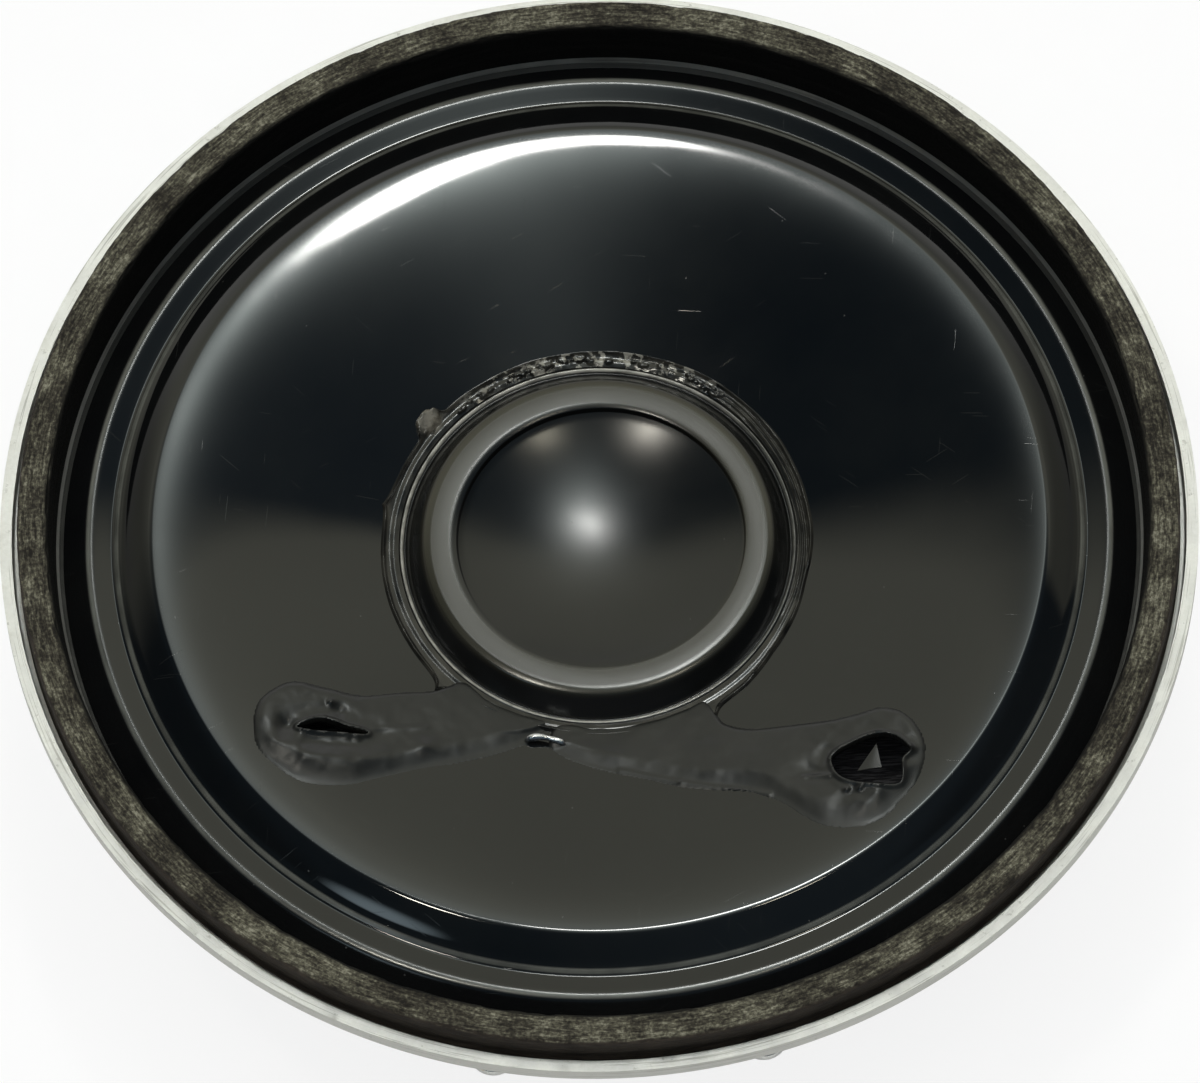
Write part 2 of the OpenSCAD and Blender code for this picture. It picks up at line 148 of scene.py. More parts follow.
def polar(r, angle, centre=(0, 0)):
    """The point at a radius and an angle in degrees round a centre."""
    a = math.radians(angle)
    return (centre[0] + r * math.cos(a), centre[1] + r * math.sin(a))


def arc(centre, r, start, end, n):
    """Points of a circle's arc, in degrees."""
    return [polar(r, a, centre) for a in np.linspace(start, end, n)]


def circle(centre, r, n=48):
    return arc(centre, r, 0, 360, n + 1)[:-1]


def corner(a, b, c, r, step):
    """Points of the arc of radius r that rounds the corner b between a and c."""
    a, b, c = np.array(a), np.array(b), np.array(c)
    u = (b - a) / np.linalg.norm(b - a)
    v = (c - b) / np.linalg.norm(c - b)
    sweep = math.atan2(u[0] * v[1] - u[1] * v[0], u @ v)
    if r <= 0 or abs(sweep) < 1e-4:
        return [tuple(b)]
    start = b - u * r * math.tan(abs(sweep) / 2)
    spoke = np.array([u[1], -u[0]]) * math.copysign(r, sweep)
    centre = start - spoke
    n = max(2, math.ceil(abs(sweep) / step), math.ceil(abs(sweep) * r / 0.15))
    cos, sin = np.cos(sweep * np.arange(n + 1) / n), np.sin(sweep * np.arange(n + 1) / n)
    x = centre[0] + spoke[0] * cos - spoke[1] * sin
    y = centre[1] + spoke[0] * sin + spoke[1] * cos
    return list(zip(x, y))


def rounded(corners, closed=False, step=math.radians(9)):
    """A path through (x, y, radius) corners, each rounded to its radius."""
    n = len(corners)
    found = []
    for i, (x, y, *r) in enumerate(corners):
        if not closed and i in (0, n - 1):
            found.append((x, y))
        else:
            found += corner(corners[i - 1][:2], (x, y), corners[(i + 1) % n][:2], r[0] if r else 0, step)
    return found


def filled(path, longest, closed=False):
    """The path with points added so that no step is longer than this."""
    found = []
    for i in range(len(path) if closed else len(path) - 1):
        a, b = np.array(path[i]), np.array(path[(i + 1) % len(path)])
        n = max(1, math.ceil(np.linalg.norm(b - a) / longest))
        found.extend(tuple(a + (b - a) * k / n) for k in range(n))
    return found if closed else found + [tuple(path[-1])]


def moved(path, t):
    """The path moved t to its left."""
    p = np.array(path)
    d = np.diff(p, axis=0)
    d /= np.linalg.norm(d, axis=1)[:, None]
    n = np.stack([-d[:, 1], d[:, 0]], 1)
    after = np.vstack([n, n[-1:]])
    middle = np.vstack([n[:1], n]) + after
    middle /= np.linalg.norm(middle, axis=1)[:, None]
    stretch = 1 / np.maximum((middle * after).sum(1), 0.3)
    return [tuple(q) for q in p + middle * (stretch * t)[:, None]]


def curve(points, steps, closed=False):
    """A smooth curve through points in the plane or in space."""
    p = np.array(points, float)
    n = len(p)
    t = np.linspace(0, 1, steps, endpoint=False)[:, None]
    found = []
    for i in range(n if closed else n - 1):
        a, b, c, d = (p[k % n if closed else min(max(k, 0), n - 1)] for k in range(i - 1, i + 3))
        square, cube = (2 * a - 5 * b + 4 * c - d) * t**2, (3 * b - 3 * c + d - a) * t**3
        found.append((2 * b + (c - a) * t + square + cube) / 2)
    return np.vstack(found if closed else found + [p[-1:]])


def inside_depth(x, y, loop):
    """Distance of points to a closed outline, above zero inside it."""
    p = np.stack([x, y], -1)[..., None, :]
    along = np.roll(loop, -1, axis=0) - loop
    t = np.clip(((p - loop) * along).sum(-1) / (along**2).sum(-1), 0, 1)
    gap = np.linalg.norm(p - loop - t[..., None] * along, axis=-1).min(-1)
    crossed = (loop[:, 1] > p[..., 1]) != (np.roll(loop[:, 1], -1) > p[..., 1])
    dy = np.where(np.abs(along[:, 1]) < 1e-12, 1e-12, along[:, 1])
    at = loop[:, 0] + (p[..., 1] - loop[:, 1]) * along[:, 0] / dy
    within = (crossed & (p[..., 0] < at)).sum(-1) % 2 == 1
    return np.where(within, gap, -gap)


# Noise that gives the same result each run


def lattice(cell, seed):
    """A fixed number from -1 to 1 for each whole-number cell."""
    x, y, z = (cell[..., k].astype(np.uint32) for k in range(3))
    h = x * np.uint32(374761393) + y * np.uint32(668265263) + z * np.uint32(2246822519)
    h = h + np.uint32(seed * 3266489917 % 2**32)
    h = (h ^ (h >> np.uint32(13))) * np.uint32(1274126177)
    h = h ^ (h >> np.uint32(16))
    return (h & np.uint32(0xFFFF)).astype(float) / 32767.5 - 1


def noise(p, seed=0):
    """Smooth noise from about -1 to 1 at points p."""
    cell = np.floor(p).astype(np.int64)
    f = p - cell
    f = f * f * f * (f * (f * 6 - 15) + 10)
    total = 0
    for ends in np.ndindex(2, 2, 2):
        total = total + np.where(ends, f, 1 - f).prod(-1) * lattice(cell + np.array(ends), seed)
    return total


def layered(p, seed=0, octaves=3):
    """Noise with finer noise added to it."""
    return sum(noise(p * 2**k, seed + k) / 2**k for k in range(octaves))


def step_up(x, a, b):
    """0 below a, 1 above b, smooth between them."""
    t = np.clip((x - a) / (b - a), 0, 1)
    return t * t * (3 - 2 * t)


def hump(x, middle, width, power=2):
    """1 at the middle, falling to 0 on either side. A higher power makes its top flatter."""
    return np.exp(-(((x - middle) / width) ** power))


# Meshes


def mesh_object(name, points, faces):
    """An object made of points in millimetres and faces."""
    mesh = bpy.data.meshes.new(name)
    mesh.from_pydata([tuple(p) for p in np.asarray(points, float) * MM], [], faces)
    mesh.update()
    made = bpy.data.objects.new(name, mesh)
    bpy.context.scene.collection.objects.link(made)
    return made


def tidy_mesh(made, merge=1e-4):
    """Merges doubled points and turns every face outwards."""
    b = bmesh.new()
    b.from_mesh(made.data)
    bmesh.ops.remove_doubles(b, verts=b.verts, dist=merge * MM)
    bmesh.ops.recalc_face_normals(b, faces=b.faces)
    b.to_mesh(made.data)
    b.free()
    return made


def per_point(made, field):
    """The points or the normals of an object, in rows of three."""
    values = np.empty(len(made.data.vertices) * 3, np.float32)
    made.data.vertices.foreach_get(field, values)
    return values.reshape(-1, 3).astype(float)


def coordinates(made):
    """The object's points, in millimetres."""
    return per_point(made, "co") / MM


def set_coordinates(made, points):
    made.data.vertices.foreach_set("co", (points * MM).astype(np.float32).ravel())
    made.data.update()


def reach(p):
    """Distance of points from the axis."""
    return np.hypot(p[:, 0], p[:, 1])


def displace(made, field):
    """Moves each point along its normal by field(points), in millimetres."""
    p = coordinates(made)
    set_coordinates(made, p + per_point(made, "normal") * field(p)[:, None])


def lathe(name, path, segments=360, closed=True, centre=(0, 0)):
    """A surface of revolution of (radius, height) points about a vertical axis at centre."""
    path = np.array(path, float)
    n = len(path)
    angles = np.linspace(0, 2 * math.pi, segments, endpoint=False)
    x = centre[0] + np.outer(np.cos(angles), path[:, 0])
    y = centre[1] + np.outer(np.sin(angles), path[:, 0])
    points = np.stack([x, y, np.broadcast_to(path[:, 1], x.shape)], -1).reshape(-1, 3)
    faces = []
    for i in range(segments):
        a, b = i * n, (i + 1) % segments * n
        for k in range(n if closed else n - 1):
            m = (k + 1) % n
            faces.append((a + k, a + m, b + m, b + k))
    return tidy_mesh(mesh_object(name, points, faces))


def prism(name, outline, z0, z1):
    """A solid with a flat outline, from height z0 to z1."""
    n = len(outline)
    points = [(x, y, z) for z in (z0, z1) for x, y in outline]
    faces = [tuple(range(n))[::-1], tuple(range(n, 2 * n))]
    faces += [(i, (i + 1) % n, n + (i + 1) % n, n + i) for i in range(n)]
    return tidy_mesh(mesh_object(name, points, faces))


def tube(name, route, radius, sides=12):
    """A round wire along a route of points. radius is one number, or one for each point."""
    route = np.array(route, float)
    way = np.gradient(route, axis=0)
    way /= np.linalg.norm(way, axis=1)[:, None]
    across = np.cross(way[0], [0.3, 0.5, 0.8])
    points = []
    for p, u, r in zip(route, way, np.broadcast_to(radius, len(route))):
        across = across - u * (across @ u)
        across /= np.linalg.norm(across)
        other = np.cross(u, across)
        for k in range(sides):
            a = 2 * math.pi * k / sides
            points.append(p + (across * math.cos(a) + other * math.sin(a)) * r)
    last = (len(route) - 1) * sides
    faces = []
    for i in range(0, last, sides):
        for k in range(sides):
            m = (k + 1) % sides
            faces.append((i + k, i + m, i + sides + m, i + sides + k))
    faces += [tuple(range(sides))[::-1], tuple(range(last, last + sides))]
    return tidy_mesh(mesh_object(name, points, faces))


def join(name, parts):
    """One object from several."""
    faces, points = [], []
    for part in parts:
        start = len(points)
        points.extend(coordinates(part))
        faces.extend(tuple(start + v for v in f.vertices) for f in part.data.polygons)
        bpy.data.objects.remove(part)
    return mesh_object(name, points, faces)


def modify(made, kind, **settings):
    """Applies one modifier."""
    modifier = made.modifiers.new("change", kind)
    for key, value in settings.items():
        setattr(modifier, key, value)
    graph = bpy.context.evaluated_depsgraph_get()
    graph.update()
    mesh = bpy.data.meshes.new_from_object(made.evaluated_get(graph))
    made.modifiers.clear()
    old = made.data
    made.data = mesh
    bpy.data.meshes.remove(old)
    return made


def combine(made, other, operation="DIFFERENCE"):
    """Applies a boolean with another object, which is then removed."""
    modify(made, "BOOLEAN", operation=operation, solver="EXACT", object=other)
    bpy.data.objects.remove(other)
    return made


def drill(made, z0, z1, *outlines):
    """Cuts flat outlines out of an object, from height z0 to z1."""
    return combine(made, join("cutters", [prism("cutter", outline, z0, z1) for outline in outlines]))


def thicken(made, thickness, offset=-1):
    """Makes a sheet solid."""
    return modify(made, "SOLIDIFY", thickness=thickness * MM, offset=offset)


def soften(made, width, segments=2):
    """Rounds the sharp edges."""
    settings = {"width": width * MM, "segments": segments}
    return modify(made, "BEVEL", **settings, limit_method="ANGLE", angle_limit=math.radians(35))


# Materials


class Value:
    """An output of a node. Arithmetic with it adds nodes, and | takes the larger of two values."""

    def __init__(self, paint, socket):
        self.paint = paint
        self.socket = socket

    def math(self, operation, other=0.0):
        return self.paint.math(operation, self, other)

    def __add__(self, other):
        return self.math("ADD", other)

    def __sub__(self, other):
        return self.math("SUBTRACT", other)

    def __mul__(self, other):
        return self.math("MULTIPLY", other)

    def __truediv__(self, other):
        return self.math("DIVIDE", other)

    def __or__(self, other):
        return self.math("MAXIMUM", other)

    def __abs__(self):
        return self.math("ABSOLUTE")

    def range(self, a, b, c=0.0, d=1.0):
        """c up to a, d from b on, smooth between them."""
        inputs = {"Value": self, "From Min": a, "From Max": b, "To Min": c, "To Max": d}
        return self.paint.add("MapRange", inputs, interpolation_type="SMOOTHSTEP")

    def band(self, a, b, c, d):
        """1 from b to c, falling to 0 at a and at d."""
        return self.range(a, b) * self.range(d, c)

    def ramp(self, *stops):
        """Colours at positions, given in turn."""
        node, found = self.paint.node("ValToRGB", {0: self})
        elements = node.color_ramp.elements
        while len(elements) < len(stops) // 2:
            elements.new(0.5)
        for element, position, colour in zip(elements, stops[::2], stops[1::2]):
            element.position = position
            element.color = (*colour, 1)
        return found

    def mix(self, a, b):
        """a where this is 0, and b where it is 1. Each is a value or a colour."""
        a, b = (c if isinstance(c, Value) else (*c, 1) for c in (a, b))
        return self.paint.node("Mix", {0: self, 6: a, 7: b}, output=2, data_type="RGBA")[1]

    def bump(self, strength, distance, normal=None):
        inputs = {"Height": self, "Strength": strength, "Distance": distance * MM}
        if normal is not None:
            inputs["Normal"] = normal
        return self.paint.add("Bump", inputs)


class Paint:
    """A material built up from nodes. Texture coordinates are millimetres on the piece."""

    def __init__(self, name, **sockets):
        self.material = bpy.data.materials.new(name)
        self.material.use_nodes = True
        self.tree = self.material.node_tree
        self.shader = self.tree.nodes["Principled BSDF"]
        self.use(**sockets)

    def use(self, **sockets):
        self.wire(self.shader, {key.replace("_", " "): value for key, value in sockets.items()})

    def wire(self, node, inputs):
        for key, value in inputs.items():
            if isinstance(value, Value):
                self.tree.links.new(value.socket, node.inputs[key])
            else:
                node.inputs[key].default_value = value

    def node(self, kind, inputs, output=0, **settings):
        """A new node and one of its outputs."""
        node = self.tree.nodes.new("ShaderNode" + kind)
        for key, value in settings.items():
            setattr(node, key, value)
        self.wire(node, inputs)
        return node, Value(self, node.outputs[output])

    def add(self, kind, inputs, output=0, **settings):
        return self.node(kind, inputs, output, **settings)[1]

    def math(self, operation, a, b=0.0):
        return self.add("Math", {0: a, 1: b}, operation=operation)

    def vector(self, operation, a, b, output=0):
        second = 3 if operation == "SCALE" else 1
        return self.add("VectorMath", {0: a, second: b}, output, operation=operation)

    def length(self, a, b):
        return (a * a + b * b).math("SQRT")

    def reach(self):
        """Distance from the axis."""
        return self.length(*self.split(self.place())[:2])

    def place(self, scale=(1, 1, 1)):
        """Object coordinates in millimetres, times a scale for each axis."""
        here = self.add("TexCoord", {}, "Object")
        return self.vector("MULTIPLY", here, tuple(s / MM for s in scale))

    def split(self, vector):
        node, x = self.node("SeparateXYZ", {0: vector})
        return x, Value(self, node.outputs[1]), Value(self, node.outputs[2])

    def facing(self):
        """How far the surface faces up, from the piece's own normal."""
        return self.split(self.add("TexCoord", {}, "Normal"))[2]

    def around(self, along, across):
        """Coordinates that change slowly round the axis and fast along the radius and height."""
        x, y, z = self.split(self.place())
        third = self.length(x, y) * across + z * (across * 1.3)
        return self.add("CombineXYZ", {0: x * along, 1: y * along, 2: third})

    def turned(self, angle, location, scale, kind="POINT"):
        """Coordinates in millimetres, turned about the axis, moved and scaled."""
        inputs = {"Vector": self.place(), "Rotation": (0, 0, math.radians(angle))}
        return self.add("Mapping", {**inputs, "Location": location, "Scale": scale}, vector_type=kind)

    def noise(self, at, detail=3, roughness=0.55, distortion=0.0):
        """Noise at a scale, at a scale for each axis, or at coordinates."""
        scale = 1
        if isinstance(at, tuple):
            at = self.place(at)
        elif not isinstance(at, Value):
            at, scale = self.place(), at
        inputs = {"Vector": at, "Scale": scale, "Detail": detail, "Roughness": roughness}
        return self.add("TexNoise", {**inputs, "Distortion": distortion})

    def cells(self, scale):
        """Distance to the nearest of many scattered points."""
        return self.add("TexVoronoi", {"Vector": self.place(), "Scale": scale})


PAINTS = {}


def paint(**settings):
    """Makes a material with a function's name. The function gives its colour, roughness and normal."""

    def build(look):
        p = Paint(look.__name__, **settings)
        p.use(**dict(zip(("Base_Color", "Roughness", "Normal"), look(p))))
        PAINTS[look.__name__] = p.material
        return look

    return build


def largest(values):
    """The largest of several values."""
    total = values[0]
    for value in values[1:]:
        total = total | value
    return total


def scratches(p, seed, length, width, rarity):
    """A mask of short thin straight marks in a few directions."""
    marks = []
    for k, angle in enumerate((20, 75, 130, 165)):
        place = (seed * 3.1 + k * 5.7, k * 2.3, 0)
        lines = p.turned(angle + seed * 7, place, (length, width, 100), "TEXTURE")
        marks.append(p.noise(lines, 0, 0).range(rarity, rarity + 0.02))
    return largest(marks)


@paint(IOR=1.55)
def black_film(p):
    """Glossy black formed film: faint scratches, smears and dust, with a painted highlight along its two
    sharp fold lines.
    """
    smear = p.noise((0.16, 0.16, 0.16), 4, 0.6)
    dust = p.cells(0.6).range(0.035, 0.012)
    lines = scratches(p, 1, 2.5, 0.035, 0.855)
    marks = lines * 0.4 | dust
    r = p.reach()
    # Bands on the two fold lines; their pale colour is a painted highlight, and the inner band also
    # roughens the film.
    inner_fold_highlight = r.band(ridge_r - 0.14, ridge_r - 0.04, ridge_r + 0.04, ridge_r + 0.14)
    fold_highlight = r.band(step_r - 0.16, step_r - 0.04, step_r, step_r + 0.14) | inner_fold_highlight
    fold_highlight = fold_highlight * p.noise(p.around(0.5, 4), 3).range(0.3, 0.7, 0.5, 1.0)
    soft = r.band(step_r - 0.35, step_r - 0.15, step_r + 0.15, step_r + 0.35) | inner_fold_highlight
    black = smear.ramp(0.3, (0.0022, 0.0024, 0.0028), 0.7, (0.0042, 0.0044, 0.0044))
    colour = (marks * 0.3).mix(fold_highlight.mix(black, (0.09, 0.091, 0.08)), (0.1, 0.1, 0.095))
    rough = smear.range(0.35, 0.75, 0.05, 0.085) + marks * 0.2 + soft * 0.12
    return colour, rough, p.noise(9, 2).bump(0.15, 0.001, lines.bump(0.2, 0.002))


@paint(IOR=1.55)
def cap_film(p):
    """The same film as a dust cap: frosted on its shoulder, where its olive colour is a painted reflection,
    with a painted highlight on the ridge at its foot.
    """
    smear = p.noise((0.3, 0.3, 0.3), 4, 0.6)
    dust = p.cells(0.8).range(0.04, 0.015)
    x, y, z = p.split(p.place())
    r = p.length(x - CAP_CENTRE[0], y)
    foot = r.band(foot_ridge_r - 0.09, foot_ridge_r - 0.04, foot_ridge_r + 0.03, foot_ridge_r + 0.09)
    # Painted highlight: pale colour on the foot ridge, strongest on the -x side and fading to a fifth
    # towards +x.
    worn = foot * p.noise(p.around(1.5, 3), 2).range(0.25, 0.65, 0.35, 1.0) * x.range(2, 7.5, 1, 0.2)
    dark = smear.ramp(0.3, (0.0025, 0.0027, 0.0028), 0.75, (0.0045, 0.0045, 0.0042))
    # The olive colour of the frosted shoulder is a painted reflection; the frost itself is the added
    # roughness.
    frosted = r.band(6.0, 6.3, 7.15, 7.5).mix(dark, (0.023, 0.021, 0.0135))
    colour = (dust * 0.15).mix(worn.mix(frosted, (0.3, 0.29, 0.255)), (0.14, 0.14, 0.13))
    rough = smear.range(0.3, 0.75, 0.19, 0.22) + r.band(6.12, 6.32, 6.88, 7.05) * 0.14
    return colour, rough - r.range(7.2, 7.4) * 0.03, p.noise(12, 2).bump(0.3, 0.0015)


@paint(IOR=1.5)
def clear_adhesive(p):
    """Clear glue over black film: nearly black and clouded, with painted highlights on its drop and on its
    broken pieces on the far side.
    """
    cloud = p.noise(p.around(0.8, 2.2), 3)
    x, y, z = p.split(p.place())
    drop_x, drop_y = polar(DROP_REACH, DROP_ANGLE, CAP_CENTRE)
    gap = p.length(x - drop_x, y - drop_y)
    # Painted highlight: paler colour on the drop, which is also made rougher.
    drop_painted_highlight = gap.range(0.75, 0.35) * p.noise(2.5, 3).range(0.3, 0.6, 0.4, 1)
    # Painted glints: paler colour on the broken pieces on the far side, above y = 6.5 mm.
    piece = y.range(6.5, 8.2) * p.noise(2.2, 3).range(0.54, 0.62)
    tone = cloud.ramp(0.35, (0.004, 0.004, 0.004), 0.75, (0.034, 0.032, 0.026))
    colour = drop_painted_highlight.mix(piece.mix(tone, (0.22, 0.21, 0.18)), (0.11, 0.1, 0.08))
    rough = cloud.range(0.3, 0.7, 0.1, 0.22) + drop_painted_highlight * 0.15
    return colour, rough, p.noise(p.around(0.8, 5), 2).bump(0.15, 0.008)


@paint(IOR=1.5)
def lead_adhesive(p):
    """Dark cured contact adhesive with a dull skin, faint wrinkles and a few tiny bubbles."""
    cloud = p.noise((0.5, 0.5, 0.5), 5, 0.6)
    wrinkle = p.noise((1.6, 3.4, 3), 4, 0.55, 0.3)
    colour = cloud.ramp(0.3, (0.005, 0.0054, 0.0054), 0.75, (0.0125, 0.0125, 0.0105))
    normal = p.cells(1.3).range(0.07, 0.03).bump(0.12, 0.01, wrinkle.bump(0.14, 0.01))
    return colour, cloud.range(0.3, 0.75, 0.31, 0.42), normal


@paint(IOR=1.45, Specular_IOR_Level=0.3)
def gasket_card(p):
    """Pressed card: brown-grey speckled face with fibres lying round the ring; painted shade colours its
    inner wall near black, and its outer edge is darker than its face.
    """
    fibre = p.noise(p.around(1.4, 9), 4, 0.7)
    speck = p.noise(7, 3, 0.7)
    tone = fibre * 0.55 + speck * 0.45 + p.noise((0.5, 0.5, 0.5), 3).range(0.3, 0.7, -0.05, 0.05)
    face = tone.ramp(
        0.38, (0.009, 0.0075, 0.006), 0.47, (0.035, 0.031, 0.023),
        0.56, (0.1, 0.094, 0.068), 0.66, (0.25, 0.24, 0.185),
    )
    r = p.reach()
    # Painted shade: the inner wall and the inner edge of the face are coloured near black.
    bore_painted_shade = tone.ramp(0.38, (0.0012, 0.0011, 0.001), 0.65, (0.004, 0.0034, 0.0028))
    rim = tone.ramp(0.38, (0.014, 0.011, 0.009), 0.65, (0.055, 0.044, 0.034))
    up = p.facing().range(0.6, 0.98) * r.range(*CARD_FACE)
    colour = up.mix(r.range(*CARD_RIM).mix(bore_painted_shade, rim), face)
    return colour, speck.range(0.3, 0.7, 0.7, 0.95), speck.bump(0.5, 0.03, fibre.bump(0.8, 0.05))


@paint(Metallic=1.0)
def tinned_steel(p):
    """Bright tinned sheet steel, drawn and sheared: streaks round its lip, and painted shade greying its
    walls.
    """
    mottle = p.noise(1.3, 4, 0.65)
    drawn = p.noise(p.around(0.18, 13), 3, 0.6)
    spots = p.noise(2.7, 3, 0.7).range(0.62, 0.72)
    # Painted shade: surfaces that face sideways are coloured more grey than the tops.
    wall = abs(p.facing()).range(0.85, 0.4)
    bright = mottle.ramp(0.3, (0.7, 0.69, 0.66), 0.55, (0.84, 0.83, 0.81), 0.75, (0.93, 0.92, 0.91))
    walls_painted_shade = (wall * 0.75).mix(bright, (0.5, 0.49, 0.46))
    colour = (drawn.range(0.44, 0.36, 0, 0.55) | spots * 0.4).mix(walls_painted_shade, (0.3, 0.285, 0.26))
    rough = mottle.range(0.3, 0.7, 0.46, 0.58) + drawn * 0.08
    return colour, rough, drawn.bump(0.35, 0.012, mottle.bump(0.2, 0.02))


@paint(Metallic=1.0)
def zinc_plated_steel(p):
    """Zinc-plated steel plates: turned and tumbled, cool grey, with a few scuffs."""
    mottle = p.noise(1.1, 4, 0.6)
    lines = scratches(p, 4, 3.5, 0.05, 0.68)
    grey = mottle.ramp(0.3, (0.47, 0.48, 0.49), 0.7, (0.63, 0.64, 0.645))
    rough = mottle.range(0.3, 0.7, 0.3, 0.42) + lines * -0.12
    normal = p.noise(p.around(0.12, 14), 2, 0.5).bump(0.3, 0.01, mottle.bump(0.25, 0.02))
    return (lines * 0.5).mix(grey, (0.75, 0.75, 0.76)), rough, normal


@paint(IOR=2.0, Specular_IOR_Level=0.35)
def ferrite(p):
    """Sintered ferrite: charcoal, matt as-pressed sides, ground faces, small pores."""
    grain = p.noise(6, 4, 0.7)
    cloud = p.noise((0.4, 0.4, 0.4), 3)
    pores = p.cells(2.2).range(0.14, 0.06)
    dark = grain.ramp(0.35, (0.022, 0.023, 0.025), 0.7, (0.058, 0.06, 0.063))
    clouded = cloud.range(0.35, 0.7, 0, 0.5).mix(dark, (0.075, 0.076, 0.078))
    rough = grain.range(0.3, 0.7, 0.55, 0.75) - abs(p.facing()).range(0.8, 0.95) * 0.15
    return pores.mix(clouded, (0.012, 0.012, 0.013)), rough, pores.bump(-0.4, 0.05, grain.bump(0.4, 0.03))


@paint(IOR=1.45, Specular_IOR_Level=0.2)
def damping_cloth(p):
    """Black non-woven cloth: fibres lying every way over a felt ground."""
    threads = [p.turned(angle, (k * 3.7, k, 0), (0.9, 14, 2)) for k, angle in enumerate((10, 55, 100, 150))]
    fibres = largest([p.noise(thread, 1, 0.4).range(0.6, 0.68) for thread in threads])
    felt = p.noise(5, 3, 0.7)
    ground = felt.ramp(0.3, (0.012, 0.012, 0.013), 0.7, (0.03, 0.03, 0.032))
    colour = (fibres * 0.7).mix(ground, (0.09, 0.09, 0.095))
    return colour, felt.range(0.3, 0.7, 0.85, 1.0), fibres.bump(0.7, 0.05, felt.bump(0.5, 0.06))


@paint(IOR=1.55)
def fibre_board(p):
    """Phenolic paper board: brown, faint paper fibres, layered cut edges."""
    fibres = p.noise((1.2, 5, 5), 4, 0.65)
    face = fibres.ramp(0.35, (0.16, 0.062, 0.022), 0.7, (0.27, 0.118, 0.046))
    edge = p.noise((0.4, 0.4, 12), 1).ramp(0.4, (0.15, 0.07, 0.03), 0.6, (0.33, 0.19, 0.1))
    brown = abs(p.facing()).range(0.6, 0.9).mix(edge, face)
    colour = p.noise(0.6, 2).range(0.4, 0.7, 0, 0.25).mix(brown, (0.1, 0.04, 0.018))
    return colour, fibres.range(0.3, 0.7, 0.32, 0.5), fibres.bump(0.3, 0.02)


@paint(Metallic=1.0)
def tinned_brass(p):
    """Tin-plated brass, with warm brass showing through in worn places."""
    mottle = p.noise(2.4, 4, 0.6)
    worn = p.noise(0.9, 4, 0.7).range(0.6, 0.72)
    tin = mottle.ramp(0.3, (0.6, 0.595, 0.57), 0.7, (0.76, 0.755, 0.73))
    normal = scratches(p, 2, 1.6, 0.04, 0.7).bump(-0.3, 0.01, mottle.bump(0.2, 0.015))
    return (worn * 0.55).mix(tin, (0.62, 0.47, 0.24)), mottle.range(0.3, 0.7, 0.22, 0.34), normal


@paint(Metallic=1.0)
def solder(p):
    """Solder: bright, slightly frosted, with a little brown flux at its foot."""
    frost = p.noise(3.4, 4, 0.6)
    foot = p.split(p.place())[2].band(z_lug - 0.35, z_lug - 0.05, z_lug + 0.5, z_lug + 1)
    bright = frost.ramp(0.3, (0.56, 0.565, 0.57), 0.7, (0.74, 0.745, 0.75))
    colour = (foot * p.noise(1.5, 3).range(0.4, 0.6)).mix(bright, (0.25, 0.13, 0.05))
    return colour, frost.range(0.3, 0.7, 0.16, 0.36), frost.bump(0.35, 0.02)


@paint(IOR=1.5)
def amber_adhesive(p):
    """Yellow-brown contact adhesive at the film's rim and the coil's neck."""
    cloud = p.noise(1.6, 4, 0.6)
    bubbles = p.cells(3.2).range(0.12, 0.05)
    amber = cloud.ramp(0.3, (0.3, 0.16, 0.045), 0.7, (0.5, 0.32, 0.12))
    normal = bubbles.bump(0.4, 0.02, cloud.bump(0.4, 0.04))
    return bubbles.mix(amber, (0.55, 0.4, 0.2)), cloud.range(0.3, 0.7, 0.18, 0.35), normal


@paint(IOR=1.55)
def dark_epoxy(p):
    """Dark epoxy squeezed out of the magnet's glue lines."""
    cloud = p.noise(p.around(0.6, 2), 4, 0.6)
    colour = cloud.ramp(0.3, (0.012, 0.013, 0.012), 0.7, (0.035, 0.036, 0.03))
    return colour, cloud.range(0.3, 0.7, 0.14, 0.34), cloud.bump(0.5, 0.05)


@paint(IOR=1.45, Specular_IOR_Level=0.3)
def former_paper(p):
    """Kraft paper of the coil former."""
    fibres = p.noise((3, 3, 9), 4, 0.7)
    colour = fibres.ramp(0.3, (0.27, 0.17, 0.085), 0.7, (0.45, 0.31, 0.18))
    return colour, fibres.range(0.3, 0.7, 0.75, 0.95), fibres.bump(0.5, 0.03)


@paint(Metallic=1.0, Coat_Weight=1.0, Coat_Roughness=0.08)
def enamelled_wire(p):
    """Enamelled copper wire."""
    cloud = p.noise(2.2, 3)
    colour = cloud.ramp(0.3, (0.42, 0.13, 0.05), 0.7, (0.62, 0.24, 0.1))
    return colour, cloud.range(0.3, 0.7, 0.22, 0.36)


def settle(made, slot, *nodes, body=None, angle=40):
    """Gives a piece its shading, its material and its body, and hides the CAD nodes that it stands for."""
    made.data.shade_smooth()
    made.data.set_sharp_from_angle(angle=math.radians(angle))
    made.data.materials.clear()
    made.data.materials.append(PAINTS[slot])
    if body:
        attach(made, body)
    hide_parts(*nodes)
    return made


# Film


def cone_z(r):
    """Height of the cone's front face: nearly level at the crest, and steeper towards the neck."""
    fall = cone_from_r - r
    eased = (neck_slope - crest_slope) * slope_fade * (1 - np.exp(-fall / slope_fade))
    return crest_z - neck_slope * fall + eased


def on_cone(x, y, lift):
    return (x, y, float(cone_z(math.hypot(x, y))) + lift)


